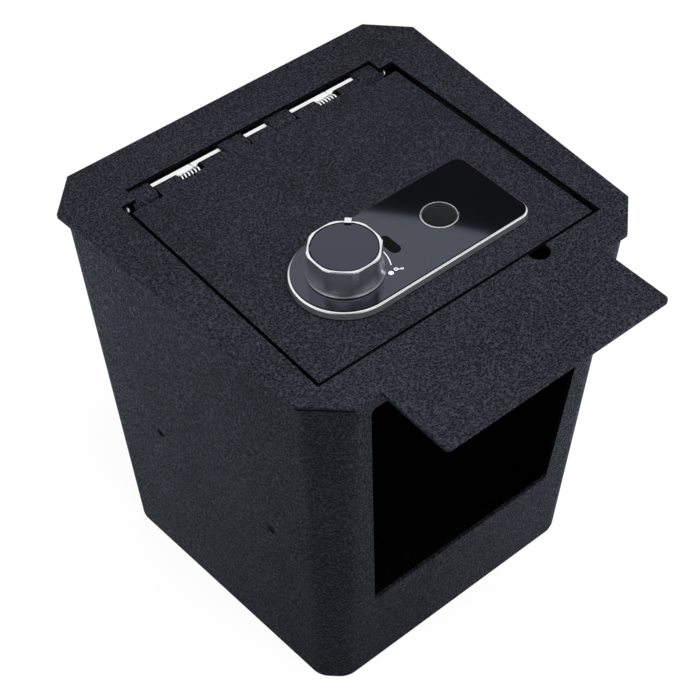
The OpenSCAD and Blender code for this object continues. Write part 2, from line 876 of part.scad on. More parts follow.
// Sleeve through the lid and the panel that the spindle turns in
module spindle_bushing() {
    color("#b08d57")
    difference() {
        post(knob_x, lock_y, lid_low, face_top, bush_r);
        post(knob_x, lock_y, lid_low - cut, face_top + cut, spindle_r + seat);
    }
}

// Disc with the crank pin below it and a notch for the plunger at each end of its turn
module crank_disc() {
    color("#8e9196")
    translate([knob_x, lock_y, 0]) {
        difference() {
            translate([0, 0, disc_low])
            cylinder(r = disc_r, h = disc_t);
            spindle_shape(spindle_r + seat, disc_low - cut, disc_top + cut);
            for (a = [0, 2 * pointer_angle])
                rotate([0, 0, a])
                translate([disc_r - 3, -plunger_r - slide_gap, disc_low - cut])
                cube([4, 2 * (plunger_r + slide_gap), disc_t + 2 * cut]);
        }
        translate([pin_tip_x - knob_x, pin_tip_y - lock_y, bolt_low - 0.5])
        cylinder(r = crank_pin_r, h = disc_low + seat - bolt_low + 0.5);
    }
}

// Sliding bolt plate: a cross slot for the crank pin, a bar and two fingers
module bolt_plate() {
    slot_r = crank_pin_r + crank_play;
    stem_x = knob_x + crank_r - 1;
    stem_hw = 9;
    bar_front_y = bar_back_y - bar_w();
    hw = finger_x + finger_w / 2;
    color("#7f8287")
    slab(bolt_low, bolt_top)
    difference() {
        union() {
            patch(stem_x - stem_hw, stem_x + stem_hw, bar_front_y, pin_tip_y + slot_r + 4);
            patch(min(-hw, stem_x - stem_hw), hw, bar_front_y, bar_back_y);
            for (s = [-1, 1])
                patch(s * finger_x - finger_w / 2, s * finger_x + finger_w / 2,
                    lid_front_y + 0.35, bar_front_y + cut);
        }
        for (x = [pin_tip_x, knob_x + crank_r])
            translate([x, pin_tip_y])
            circle(r = slot_r);
        patch(pin_tip_x, knob_x + crank_r, pin_tip_y - slot_r, pin_tip_y + slot_r);
    }
}

// Straps under the lid's front edge that carry the bolt fingers
module bolt_guides() {
    t = guide_t;
    hw = finger_w / 2 + slide_gap;
    z0 = bolt_low - slide_gap - t;
    color("#3a3d42")
    for (s = [-1, 1])
        translate([s * finger_x, lid_front_y + guide_in + guide_l, 0])
        rotate([90, 0, 0])
        linear_extrude(guide_l)
        difference() {
            patch(-hw - t, hw + t, z0, lid_low);
            patch(-hw, hw, z0 + t, lid_low + cut);
        }
}

// Open frame of the lock case with screw columns and slots for the fingers
module lock_case() {
    color("#1d1e20")
    difference() {
        union() {
            slab(case_low, lid_low)
            difference() {
                case_outline(0);
                case_outline(case_t);
            }
            screw_places()
            translate([0, 0, case_low])
            cylinder(r = screw_r + 2, h = case_h);
            for (s = [-1, 1])
                translate([0, lock_y, 0])
                mirror([0, (1 - s) / 2, 0])
                for (x = [-screw_x, screw_x])
                    translate([x - 1, screw_y, case_low])
                    cube([2, case_w / 2 - screw_y - case_t / 2, case_h]);
        }
        screw_places()
        translate([0, 0, case_low - cut])
        cylinder(r = screw_r + 0.1, h = case_h + 2 * cut);
        for (s = [-1, 1])
            translate([
                s * finger_x - finger_w / 2 - slide_gap,
                lock_y - case_w / 2 - cut,
                bolt_low - slide_gap
            ])
            cube([finger_w + 2 * slide_gap, case_t + 2 * cut, bolt_t + 2 * slide_gap]);
    }
}

module case_cover() {
    color("#1d1e20")
    difference() {
        slab(cover_low, case_low)
        difference() {
            case_outline(0);
            patch(tray_x - tray_l() / 2 + 1, tray_x + tray_l() / 2 - 1,
                lock_y - tray_hw + 1, lock_y + tray_hw - 1);
        }
        screw_places()
        translate([0, 0, cover_low - cut])
        cylinder(r = screw_r + 0.1, h = cover_t + 2 * cut);
        post(cover_screw_x(), lock_y, cover_low - cut, case_low + cut, screw_r);
    }
}

function cover_screw_x() = tray_x - tray_l() / 2 - 2.5;

// Pan head screw that stands head down, from its seat up to its tip
module screw(seat_z, tip_z) {
    translate([0, 0, seat_z])
    cylinder(r = screw_r, h = tip_z - seat_z);
    translate([0, 0, seat_z - 1.8])
    difference() {
        cylinder(r = 2 * screw_r, h = 1.8);
        for (a = [0, 90])
            rotate([0, 0, a])
            translate([-1.4, -0.3, -cut])
            cube([2.8, 0.6, cut + 0.9]);
    }
}

module case_screws() {
    color("#6d7075")
    screw_places()
    screw(cover_low, lid_top + 2.5);
}

// Tray for the batteries, open towards the cover
module battery_tray() {
    color("#26272a")
    translate([tray_x, lock_y, 0])
    difference() {
        slab(case_low, tray_top)
        square([tray_l(), 2 * tray_hw], center = true);
        slab(case_low - cut, tray_top - 1.2)
        square([tray_l() - 2.4, 2 * tray_hw - 2.4], center = true);
    }
}

module battery_cells() {
    color("#3f5a44")
    for (k = [-1.5, -0.5, 0.5, 1.5]) {
        x0 = tray_x - cell_l / 2 - 0.4;
        y = lock_y + k * cell_pitch;
        z = case_low + cell_r + 0.3;
        bar_x(x0, x0 + cell_l, y, z, cell_r);
        bar_x(x0 + cell_l - seat, x0 + cell_l + 0.8, y, z, 0.36 * cell_r);
    }
}

// Door of the battery tray, let into the case's cover
module battery_cover() {
    gap = 1.2;
    color("#1d1e20")
    difference() {
        union() {
            slab(cover_low, case_low)
            patch(tray_x - tray_l() / 2 + gap, tray_x + tray_l() / 2 - gap,
                lock_y - tray_hw + gap, lock_y + tray_hw - gap);
            slab(cover_low - 1, cover_low)
            patch(cover_screw_x() - 4, tray_x - tray_l() / 2 + gap + 4, lock_y - 5,
                lock_y + 5);
        }
        post(cover_screw_x(), lock_y, cover_low - 1 - cut, cover_low + cut, screw_r + 0.1);
    }
}

module cover_screw() {
    color("#6d7075")
    translate([cover_screw_x(), lock_y, 0])
    screw(cover_low - 1, case_low - 0.2);
}

module circuit_board() {
    color("#1f5a38")
    translate([tray_x, lock_y, 0]) {
        slab(tray_top, tray_top + 1.2)
        square([tray_l() - 4, 2 * tray_hw - 6], center = true);
        translate([8, -12, tray_top + 1.2])
        cube([7, 7, 0.8]);
        translate([-14, 10, tray_top + 1.2])
        cube([10, 5, 0.8]);
    }
}

// Solenoid beside the crank disc, standing on the circuit board's tray
module solenoid() {
    z0 = tray_top + 1.2;
    color("#8a6a3a")
    difference() {
        translate([solenoid_x, lock_y - solenoid_w / 2, z0])
        cube([solenoid_l, solenoid_w, lid_low - slide_gap - z0]);
        bar_x(solenoid_x - cut, solenoid_x + 0.75 * solenoid_l, lock_y, plunger_z,
            plunger_r + seat);
    }
}

// Plunger that enters a notch of the crank disc and blocks the knob
module blocking_plunger() {
    tip_x = knob_x + disc_r + plunger_gap;
    color("#c9ccd1")
    bar_x(tip_x, tip_x + plunger_l, lock_y, plunger_z, plunger_r);
}

tub_shell();
floor_mat();
top_frame();
strike_channel();
rest_rails();
rail_pads();
hinge_tabs();
hinge_leaf();
hinge_pin();
spring_left();
spring_right();
lid_plate();
lock_bezel();
lock_face();
sensor_ring();
sensor_pad();
port_socket();
port_plug();
knob_shell();
knob_cap();
knob_pointer();
spindle();
spindle_bushing();
crank_disc();
bolt_plate();
bolt_guides();
lock_case();
case_cover();
case_screws();
battery_tray();
battery_cells();
battery_cover();
cover_screw();
circuit_board();
solenoid();
blocking_plunger();
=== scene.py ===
"""Looks of a vehicle console safe: coated tub and lid, lock panel, knob, hinge and springs."""

import logging
import math
from contextlib import contextmanager
from dataclasses import dataclass
from enum import Enum
from functools import cache
from typing import Any, Callable, Iterator, Sequence

import bmesh
import bpy
from mathutils import Matrix, Vector


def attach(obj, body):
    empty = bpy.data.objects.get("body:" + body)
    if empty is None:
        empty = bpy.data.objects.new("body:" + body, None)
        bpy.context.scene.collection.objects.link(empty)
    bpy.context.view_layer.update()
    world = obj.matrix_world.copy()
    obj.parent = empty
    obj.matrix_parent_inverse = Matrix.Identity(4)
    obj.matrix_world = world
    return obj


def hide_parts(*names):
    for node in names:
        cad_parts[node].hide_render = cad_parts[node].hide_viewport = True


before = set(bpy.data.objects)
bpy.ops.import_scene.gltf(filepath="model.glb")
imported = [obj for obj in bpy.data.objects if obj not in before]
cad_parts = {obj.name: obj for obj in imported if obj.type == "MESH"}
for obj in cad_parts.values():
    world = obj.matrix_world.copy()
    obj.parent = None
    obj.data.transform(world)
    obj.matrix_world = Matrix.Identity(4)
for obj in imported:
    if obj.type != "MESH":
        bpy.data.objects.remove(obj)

LOG = logging.getLogger("console_safe")
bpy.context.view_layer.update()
MM = 0.001
STEEP = 0.5  # a face whose normal rises less than this is the cut edge of a flat sheet
WHITE = (1.0, 1.0, 1.0)
FLOAT, VECTOR = "NodeSocketFloat", "NodeSocketVector"
GEOMETRY, MATERIAL = "NodeSocketGeometry", "NodeSocketMaterial"

Colour = tuple[float, float, float]
Point = tuple[float, float, float]
Flat = tuple[float, float]
Ring = list[Point]
Piece = bpy.types.Object
Mesh = bpy.types.Mesh
Tree = bpy.types.NodeTree


class Part(Enum):
    """Bodies of the safe, by the name that pieces ride on."""

    SAFE = "safe"
    LID = "lid"
    KNOB = "knob"
    BOLTS = "bolts"
    PLUG = "plug"
    PLUNGER = "plunger"


class Sheen(Enum):
    """How rough a surface is, from mirror to chalk."""

    MIRROR = 0.03
    GLASS = 0.06
    POLISHED = 0.12
    SATIN = 0.3
    COAT = 0.44
    MATT = 0.55
    DULL = 0.85


# ---------------------------------------------------------------- node trees


class Canvas:
    """Places and joins the nodes of one tree."""

    def __init__(self, tree: Tree) -> None:
        """Starts on an existing tree."""
        self.tree = tree

    def feed(self, node: Any, inputs: dict[str | int, Any]) -> Any:
        """Sets or links inputs of a node.

        Args:
            node: the node.
            inputs: socket names or numbers, each with a value or a socket to link from.

        Returns:
            The node.
        """
        for name, value in inputs.items():
            if isinstance(value, bpy.types.NodeSocket):
                self.tree.links.new(value, node.inputs[name])
            else:
                node.inputs[name].default_value = value
        return node

    def add(self, kind: str, inputs: dict[str | int, Any] | None = None, **settings: Any) -> Any:
        """Adds one node.

        Args:
            kind: the node's Blender type.
            inputs: what feed gives it.
            settings: attributes of the node itself.

        Returns:
            The new node.
        """
        node = self.tree.nodes.new(kind)
        for name, value in settings.items():
            setattr(node, name, value)
        return self.feed(node, inputs or {})

    def maths(self, operation: str, first: Any, second: Any = 0.0, clamp: bool = False) -> Any:
        """Adds a maths node on two values or sockets and returns its output."""
        return self.add("ShaderNodeMath", {0: first, 1: second}, operation=operation, use_clamp=clamp).outputs[0]

    def noise(self, place: Any, scale: Any, detail: float, roughness: float = 0.5) -> Any:
        """Adds a noise texture and returns the node."""
        values = {"Vector": place, "Scale": scale, "Detail": detail, "Roughness": roughness}
        return self.add("ShaderNodeTexNoise", values)

    def remap(self, value: Any, span: Flat, to: Flat, **settings: Any) -> Any:
        """Maps a span of values to another one and returns the output."""
        ends = {"From Min": span[0], "From Max": span[1], "To Min": to[0], "To Max": to[1]}
        return self.add("ShaderNodeMapRange", {"Value": value, **ends}, **settings).outputs[0]

    def blend(self, mask: Any, dark: Sequence[float], light: Sequence[float]) -> Any:
        """Blends two colours by a mask and returns the output."""
        return self.add("ShaderNodeMix", {0: mask, 6: (*dark, 1.0), 7: (*light, 1.0)}, data_type="RGBA").outputs[2]

    def glow(self, kind: str, colour: Colour, strength: Any) -> Any:
        """Adds an emission or a background and returns its output."""
        return self.add(kind, {"Color": (*colour, 1.0), "Strength": strength}).outputs[0]

    def matt(self, tone: float) -> Any:
        """Adds a plain grey surface and returns its output."""
        return self.add("ShaderNodeBsdfDiffuse", {"Color": (tone, tone, tone, 1.0)}).outputs[0]

    def mix(self, share: Any, first: Any, second: Any) -> Any:
        """Mixes two shaders and returns the output."""
        return self.add("ShaderNodeMixShader", {0: share, 1: first, 2: second}).outputs[0]


def cleared(owner: Any) -> Canvas:
    """Empties the node tree of a material or a world.

    Args:
        owner: the material or world.

    Returns:
        A canvas on its tree.
    """
    owner.use_nodes = True
    owner.node_tree.nodes.clear()
    return Canvas(owner.node_tree)


def start_tree(
    kind: str, name: str, inputs: dict[str, Any], outputs: Sequence[str], out: str
) -> tuple[Canvas, Any, Any]:
    """Starts a shader group or a geometry tree with named sockets.

    Args:
        kind: the tree's Blender type.
        name: the tree's name.
        inputs: input names, each with a default number or a socket type.
        outputs: output names.
        out: socket type of the outputs.

    Returns:
        The canvas, the input node and the output node.
    """
    tree = bpy.data.node_groups.new(name, kind)
    for key, value in inputs.items():
        typed = isinstance(value, str)
        number = "NodeSocketInt" if isinstance(value, int) else FLOAT
        socket = tree.interface.new_socket(name=key, in_out="INPUT", socket_type=value if typed else number)
        if not typed:
            socket.default_value = value
    for key in outputs:
        tree.interface.new_socket(name=key, in_out="OUTPUT", socket_type=out)
    canvas = Canvas(tree)
    return canvas, canvas.add("NodeGroupInput"), canvas.add("NodeGroupOutput")


@cache
def grain_group() -> Tree:
    """Builds the leathery grain that the coat, plastics, foam and lining share.

    Returns:
        A group with a height for bump and a mask, 0 in the valleys and 1 on the tops.
    """
    inputs = {"Vector": VECTOR, "Scale": 900.0, "Wrinkle": 0.5, "Contrast": 2.0, "Flecks": 1.0}
    canvas, source, sink = start_tree("ShaderNodeTree", "LeatherGrain", inputs, ("Height", "Mask"), FLOAT)
    place, scale, wrinkle, contrast, flecks = (source.outputs[key] for key in inputs)
    fine = canvas.noise(place, scale, 2.0, 0.75)
    warp = canvas.add("ShaderNodeVectorMath", {0: fine.outputs["Color"], "Scale": 0.0006}, operation="SCALE")
    moved = canvas.add("ShaderNodeVectorMath", {0: place, 1: warp.outputs[0]}, operation="ADD")
    values = {"Vector": moved.outputs[0], "Scale": canvas.maths("MULTIPLY", scale, 0.55), "Smoothness": 0.6}
    cells = canvas.add("ShaderNodeTexVoronoi", values, feature="SMOOTH_F1").outputs["Distance"]
    height = canvas.maths("ADD", fine.outputs["Fac"], canvas.maths("MULTIPLY", cells, wrinkle))
    relief = canvas.maths("MULTIPLY", canvas.maths("SUBTRACT", cells, 0.4), 0.35)
    centred = canvas.maths("ADD", canvas.maths("SUBTRACT", fine.outputs["Fac"], 0.5), relief)
    speckle = canvas.maths("ADD", canvas.maths("MULTIPLY", centred, contrast), 0.5, True)
    clouds, most = canvas.noise(place, 22.0, 2.0).outputs["Fac"], 0.04
    drift = canvas.remap(clouds, (0.3, 0.7), (-most, most))
    mask = canvas.maths("POWER", canvas.maths("ADD", speckle, drift, True), flecks)
    canvas.feed(sink, {"Height": height, "Mask": mask})
    return canvas.tree


@cache
def film_group() -> Tree:
    """Builds the faint film of handling that smooth surfaces share.

    Returns:
        A group whose value is a roughness that varies slowly.
    """
    inputs = {"Vector": VECTOR, "Roughness": 0.1, "Spread": 0.03, "Scale": 60.0}
    canvas, source, sink = start_tree("ShaderNodeTree", "HandlingFilm", inputs, ("Roughness",), FLOAT)
    place, rough, spread, scale = (source.outputs[key] for key in inputs)
    cloud = canvas.noise(place, scale, 3.0).outputs["Fac"]
    swing = canvas.maths("MULTIPLY", canvas.maths("SUBTRACT", cloud, 0.5), spread)
    canvas.feed(sink, {"Roughness": canvas.maths("ADD", swing, rough)})
    return canvas.tree


@cache
def brush_group() -> Tree:
    """Builds the fine drawn lines of plated and machined metal.

    Returns:
        A group with a height for bump.
    """
    inputs = {"Vector": VECTOR, "Scale": 900.0}
    canvas, source, sink = start_tree("ShaderNodeTree", "DrawnLines", inputs, ("Height",), FLOAT)
    stretch = {"Vector": source.outputs["Vector"], "Scale": (0.03, 1.0, 1.0)}
    drawn = canvas.add("ShaderNodeMapping", stretch).outputs[0]
    canvas.feed(sink, {"Height": canvas.noise(drawn, source.outputs["Scale"], 1.0).outputs["Fac"]})
    return canvas.tree


class Finish:
    """Base of all finishes: one procedural material, made once and kept by name."""

    name: str
    sheen: Sheen

    def material(self) -> bpy.types.Material:
        """Builds the finish's material on first use.

        Returns:
            The material.
        """
        name = f"{self.name}_finish"
        known = bpy.data.materials.get(name)
        if known is not None:
            return known
        made = bpy.data.materials.new(name)
        canvas = cleared(made)
        shader = canvas.add("ShaderNodeBsdfPrincipled")
        canvas.add("ShaderNodeOutputMaterial", {"Surface": shader.outputs[0]})
        place = canvas.add("ShaderNodeTexCoord").outputs["Object"]
        canvas.feed(shader, self.paint(canvas, place))
        return made

    def film(self, canvas: Canvas, place: Any, spread: float) -> Any:
        """Places the film of handling, its spread a share of the sheen, and returns the roughness."""
        values = {"Vector": place, "Roughness": self.sheen.value, "Spread": spread * self.sheen.value}
        return canvas.add("ShaderNodeGroup", values, node_tree=film_group()).outputs[0]

    def paint(self, canvas: Canvas, place: Any) -> dict[str, Any]:
        """Works out the inputs of the Principled BSDF from the Object coordinates. Each finish has its own."""
        raise NotImplementedError


@dataclass(frozen=True)
class GrainedCoat(Finish):
    """Coat with leathery grain and speckle: powder coat, foam, rubber or moulded plastic."""

    name: str  # the material's name
    dark: Colour  # colour in the grain's valleys
    light: Colour  # colour on its tops
    sheen: Sheen = Sheen.MATT  # how rough it is
    gloss: float = 0.5  # specular level
    scale: float = 900.0  # grains per metre
    depth: float = 0.0002  # height of the grain in metres
    wrinkle: float = 0.5  # share of creases in the grain
    contrast: float = 2.0  # how far the speckle parts valleys and tops
    tint: Colour = (1.0, 1.0, 1.0)  # tint of its reflection
    swing: float = 0.06  # how much rougher the valleys are than the tops, halved
    flecks: float = 1.0  # over 1 the light tone shrinks to flecks

    def paint(self, canvas: Canvas, place: Any) -> dict[str, Any]:
        """Adds grain, speckle and a slow drift of tone.

        Args:
            canvas: the material's canvas.
            place: the Object coordinates.

        Returns:
            The shader's inputs.
        """
        values = {"Scale": self.scale, "Wrinkle": self.wrinkle, "Contrast": self.contrast, "Flecks": self.flecks}
        grain = canvas.add("ShaderNodeGroup", {"Vector": place, **values}, node_tree=grain_group())
        mask, rough = grain.outputs["Mask"], self.sheen.value
        bump = {"Height": grain.outputs["Height"], "Distance": self.depth, "Strength": 1.0}
        return {
            "Base Color": canvas.blend(mask, self.dark, self.light),
            "Roughness": canvas.remap(mask, (0.0, 1.0), (rough + 1.6 * self.swing, rough - 0.4 * self.swing)),
            "Normal": canvas.add("ShaderNodeBump", bump).outputs[0],
            "Specular IOR Level": self.gloss,
            "Specular Tint": (*self.tint, 1.0),
        }


@dataclass(frozen=True)
class PlatedMetal(Finish):
    """Bare or plated metal with drawn lines and a film of handling."""

    name: str  # the material's name
    colour: Colour  # colour of its reflection
    sheen: Sheen = Sheen.SATIN  # how rough it is
    lines: float = 0.00001  # height of the drawn lines in metres
    metal: float = 1.0  # share of bare metal, less under a pale plated skin

    def paint(self, canvas: Canvas, place: Any) -> dict[str, Any]:
        """Adds lines and film.

        Args:
            canvas: the material's canvas.
            place: the Object coordinates.

        Returns:
            The shader's inputs.
        """
        lines = canvas.add("ShaderNodeGroup", {"Vector": place}, node_tree=brush_group())
        bump = {"Height": lines.outputs[0], "Distance": self.lines, "Strength": 0.6}
        return {
            "Base Color": (*self.colour, 1.0),
            "Metallic": self.metal,
            "Roughness": self.film(canvas, place, 0.4),
            "Normal": canvas.add("ShaderNodeBump", bump).outputs[0],
        }


@dataclass(frozen=True)
class GlossSheet(Finish):
    """Smooth glossy plastic or glass-fronted sheet."""

    name: str  # the material's name
    colour: Colour  # body colour
    tint: Colour  # tint of its reflection
    sheen: Sheen = Sheen.MIRROR  # how rough it is
    ior: float = 1.65  # index of refraction

    def paint(self, canvas: Canvas, place: Any) -> dict[str, Any]:
        """Adds a cloudy body colour and film.

        Args:
            canvas: the material's canvas.
            place: the Object coordinates.

        Returns:
            The shader's inputs.
        """
        cloud = canvas.noise(place, 90.0, 2.0).outputs["Fac"]
        dark, light = ([share * tone for tone in self.colour] for share in (0.85, 1.15))
        return {
            "Base Color": canvas.blend(cloud, dark, light),
            "Roughness": self.film(canvas, place, 0.6),
            "IOR": self.ior,
            "Specular Tint": (*self.tint, 1.0),
        }


POWDER = GrainedCoat(
    "powder", (0.0016, 0.0018, 0.0026), (0.0575, 0.063, 0.0815), Sheen.COAT, 0.16, 1500.0, 0.0013, 1.0, 2.45,
    (0.76, 0.85, 1.0), 0.21, 1.7,
)
# painted shade: a near-black finish laid on faces that lie in shade, in gaps, under covers and inside the tub
PAINTED_SHADE = GrainedCoat("dark_lining", (0.0012, 0.0012, 0.0013), (0.003, 0.003, 0.0033), Sheen.DULL, 0.08)
INNER = GrainedCoat("inner_paint", (0.008, 0.009, 0.011), (0.02, 0.021, 0.025), Sheen.MATT, 0.35, 1300.0, 0.00008)
FOAM = GrainedCoat("foam", (0.0015, 0.0015, 0.0017), (0.006, 0.006, 0.0065), Sheen.DULL, 0.1, 700.0, 0.0003, 0.9)
RUBBER = GrainedCoat("rubber", (0.0012, 0.0012, 0.0014), (0.003, 0.003, 0.0034), Sheen.MATT, 0.1, 1600.0, 0.00004)
PLASTIC = GrainedCoat(
    "moulded_plastic", (0.006, 0.0062, 0.007), (0.02, 0.0205, 0.023), Sheen.MATT, 0.4, 1500.0, 0.00006
)
BOARD = GrainedCoat("solder_mask", (0.008, 0.06, 0.022), (0.015, 0.11, 0.045), Sheen.SATIN, 0.5, 500.0, 0.00003)
SLEEVE = GrainedCoat("cell_sleeve", (0.03, 0.075, 0.045), (0.05, 0.12, 0.075), Sheen.SATIN, 0.5, 400.0, 0.00002)
INK = GrainedCoat("white_ink", (0.72, 0.73, 0.75), (0.88, 0.89, 0.9), Sheen.MATT, 0.4, 1500.0, 0.00001)
CHROME = PlatedMetal("satin_chrome", (0.86, 0.87, 0.9), Sheen.POLISHED, 0.000002)
KNOB_SIDE = PlatedMetal("knob_side_chrome", (0.78, 0.8, 0.84), Sheen.SATIN, 0.0000001, 0.95)
BEZEL_CHROME = PlatedMetal("panel_chrome", (0.97, 0.975, 0.985), Sheen.SATIN, 0.000002, 0.94)
ZINC = PlatedMetal("zinc_plate", (0.97, 0.975, 0.985), Sheen.SATIN, metal=0.1)
STEEL = PlatedMetal("machined_steel", (0.5, 0.51, 0.53), Sheen.SATIN)
BRONZE = PlatedMetal("bronze", (0.5, 0.33, 0.16), Sheen.SATIN)
FACE = GlossSheet("gloss_face", (0.0035, 0.0036, 0.0045), (0.7, 0.76, 1.0), Sheen.GLASS, 1.85)
CAP = GlossSheet("knob_cap_gloss", (0.0035, 0.0037, 0.0055), (0.68, 0.72, 1.0), ior=1.74)
SENSOR = GlossSheet("sensor_pad", (0.004, 0.0042, 0.005), (0.9, 0.94, 1.0), Sheen.SATIN, 1.4)


# ---------------------------------------------------------------- meshes


@contextmanager
def editing(mesh: Mesh) -> Iterator[bmesh.types.BMesh]:
    """Opens a mesh for editing and writes it back at the end.

    Args:
        mesh: the mesh.

    Yields:
        Its editable form.
    """
    shaped = bmesh.new()
    shaped.from_mesh(mesh)
    yield shaped
    shaped.to_mesh(mesh)
    shaped.free()


def new_piece(mesh: Mesh, finish: Finish, part: Part, slot: str, *nodes: str) -> Piece:
    """Makes an object of a finished mesh, under its name, and ties it to the frame.

    Args:
        mesh: its mesh, in place.
        finish: its main finish.
        part: the body it rides on.
        slot: the record's material slot; not used.
        nodes: nodes that it stands for.

    Returns:
        The new object.
    """
    piece = bpy.data.objects.new(mesh.name, mesh)
    bpy.context.scene.collection.objects.link(piece)
    if not mesh.materials:
        mesh.materials.append(finish.material())
    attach(piece, part.value)
    if nodes:
        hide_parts(*nodes)
    return piece


def mesh_of(name: str, points: Sequence[Point], faces: Sequence[Sequence[int]], smooth: bool = False) -> Mesh:
    """Makes a mesh of points in millimetres and turns its faces outwards.

    Args:
        name: the mesh's name.
        points: points in millimetres.
        faces: corners of each face.
        smooth: whether faces of up to four corners are shaded smooth.

    Returns:
        The mesh, in metres.
    """
    mesh = bpy.data.meshes.new(name)
    mesh.from_pydata([Vector(p) * MM for p in points], [], [list(f) for f in faces])
    with editing(mesh) as shaped:
        bmesh.ops.remove_doubles(shaped, verts=shaped.verts, dist=1e-7)
        bmesh.ops.recalc_face_normals(shaped, faces=shaped.faces)
        for face in shaped.faces:
            face.smooth = smooth and len(face.verts) < 5
    return mesh


def loft(name: str, rings: Sequence[Ring]) -> Mesh:
    """Skins rings of equally many points, with both ends closed.

    Args:
        name: the mesh's name.
        rings: the rings, in order.

    Returns:
        The mesh, shaded smooth.
    """
    count = len(rings[0])
    last = (len(rings) - 1) * count
    faces: list[list[int]] = []
    for base in range(0, last, count):
        for k in range(count):
            a, b = base + k, base + (k + 1) % count
            faces.append([a, b, b + count, a + count])
    faces += [list(range(count)), list(range(last, last + count))]
    return mesh_of(name, [p for ring in rings for p in ring], faces, True)


def crisp(piece: Piece, degrees: float) -> None:
    """Keeps edges over an angle sharp under smooth shading.

    Args:
        piece: the object to shade.
        degrees: angle from which an edge is sharp.
    """
    limit = math.radians(degrees)
    with editing(piece.data) as shaped:
        for edge in shaped.edges:
            edge.smooth = len(edge.link_faces) == 2 and edge.calc_face_angle(0.0) < limit


def solid_copy(node: str, *finishes: Finish) -> Mesh:
    """Copies a node's mesh, merges its corners and joins its flat triangles.

    Args:
        node: the node to copy.
        finishes: finishes that it gets at once.

    Returns:
        The clean mesh.
    """
    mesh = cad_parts[node].data.copy()
    mesh.name = f"{node}_dressed"
    mesh.materials.clear()
    with editing(mesh) as shaped:
        bmesh.ops.remove_doubles(shaped, verts=shaped.verts, dist=2e-6)
        limit = math.radians(0.4)
        bmesh.ops.dissolve_limit(
            shaped, angle_limit=limit, verts=shaped.verts, edges=shaped.edges, delimit={"NORMAL"}
        )
        for face in shaped.faces:
            face.smooth = len(face.verts) < 5
    if "custom_normal" in mesh.attributes:
        mesh.attributes.remove(mesh.attributes["custom_normal"])
    for finish in finishes:
        mesh.materials.append(finish.material())
    return mesh


def soft_edges(piece: Piece, width: float, segments: int = 2) -> None:
    """Rounds the edges of a piece that turn by 30 degrees or more, as a coat or a press does.

    Args:
        piece: the object.
        width: width of the rounding in millimetres.
        segments: faces across the rounding.
    """
    bevel = piece.modifiers.new("soft_edges", "BEVEL")
    bevel.width = width * MM
    bevel.segments = segments
    bevel.limit_method = "ANGLE"
    bevel.angle_limit = math.radians(30.0)
    bevel.harden_normals = True
    bevel.use_clamp_overlap = True
    bevel.miter_outer = "MITER_ARC"


def coated(node: str, part: Part, slot: str, finish: Finish, width: float, segments: int = 2) -> Piece:
    """Dresses a node as a copy with softened edges.

    Args:
        node: the node to dress.
        part: the body it rides on.
        slot: the record's material slot.
        finish: its finish.
        width: width of the edge rounding in millimetres.
        segments: faces across the rounding.

    Returns:
        The new piece.
    """
    piece = new_piece(solid_copy(node), finish, part, slot, node)
    soft_edges(piece, width, segments)
    return piece


def paint_shade_on(mesh: Mesh, test: Callable[[bpy.types.MeshPolygon], bool]) -> None:
    """Paints shade on the faces of a one-finish mesh that pass a test.

    Args:
        mesh: the mesh.
        test: tells whether a face gets painted shade.
    """
    mesh.materials.append(PAINTED_SHADE.material())
    for face in mesh.polygons:
        face.material_index = int(test(face))


def dress(node: str, finish: Finish) -> Piece:
    """Gives a node that keeps its own mesh a procedural finish.

    Args:
        node: the node.
        finish: its finish.

    Returns:
        The node's object.
    """
    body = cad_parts[node]
    body.data.materials.clear()
    body.data.materials.append(finish.material())
    return body


# ---------------------------------------------------------------- geometry nodes


def run_tree(tree: Tree, seed_mesh: Mesh, values: dict[str, Any], name: str) -> Mesh:
    """Runs a geometry tree on a mesh and keeps the result as a plain mesh.

    Args:
        tree: the tree.
        seed_mesh: the mesh that it starts from.
        values: input names and values.
        name: the result's name.

    Returns:
        The evaluated mesh.
    """
    holder = bpy.data.objects.new(f"{name}_seed", seed_mesh)
    bpy.context.scene.collection.objects.link(holder)
    modifier = holder.modifiers.new("build", "NODES")
    modifier.node_group = tree
    for item in tree.interface.items_tree:
        if item.in_out == "INPUT" and item.name in values:
            modifier[item.identifier] = values[item.name]
    graph = bpy.context.evaluated_depsgraph_get()
    made = bpy.data.meshes.new_from_object(holder.evaluated_get(graph), depsgraph=graph)
    made.name = name
    holder.modifiers.remove(modifier)
    bpy.data.objects.remove(holder)
    return made


def end_tree(canvas: Canvas, source: Any, sink: Any, shape: Any) -> Tree:
    """Ends a geometry tree with real instances and their material.

    Args:
        canvas: the tree's canvas.
        source: its input node.
        sink: its output node.
        shape: the node that makes the shape.

    Returns:
        The tree.
    """
    real = canvas.add("GeometryNodeRealizeInstances", {"Geometry": shape.outputs[0]}).outputs[0]
    values = {"Geometry": real, "Material": source.outputs["Material"]}
    canvas.feed(sink, {"Geometry": canvas.add("GeometryNodeSetMaterial", values).outputs[0]})
    return canvas.tree


@cache
def wire_tree() -> Tree:
    """Builds the tree that lays round wire along a path of edges.

    Returns:
        The tree, with the wire's radius and its sides as inputs.
    """
    inputs = {"Geometry": GEOMETRY, "Radius": 0.4 * MM, "Sides": 14, "Material": MATERIAL}
    canvas, source, sink = start_tree("GeometryNodeTree", "RoundWire", inputs, ("Geometry",), GEOMETRY)
    path = canvas.add("GeometryNodeMeshToCurve", {"Mesh": source.outputs["Geometry"]})
    sizes = {"Resolution": source.outputs["Sides"], "Radius": source.outputs["Radius"]}
    ring = canvas.add("GeometryNodeCurvePrimitiveCircle", sizes)
    sweep = {"Curve": path.outputs[0], "Profile Curve": ring.outputs[0], "Fill Caps": True}
    tube = canvas.add("GeometryNodeCurveToMesh", sweep)
    smooth = canvas.add("GeometryNodeSetShadeSmooth", {"Geometry": tube.outputs[0]})
    return end_tree(canvas, source, sink, smooth)


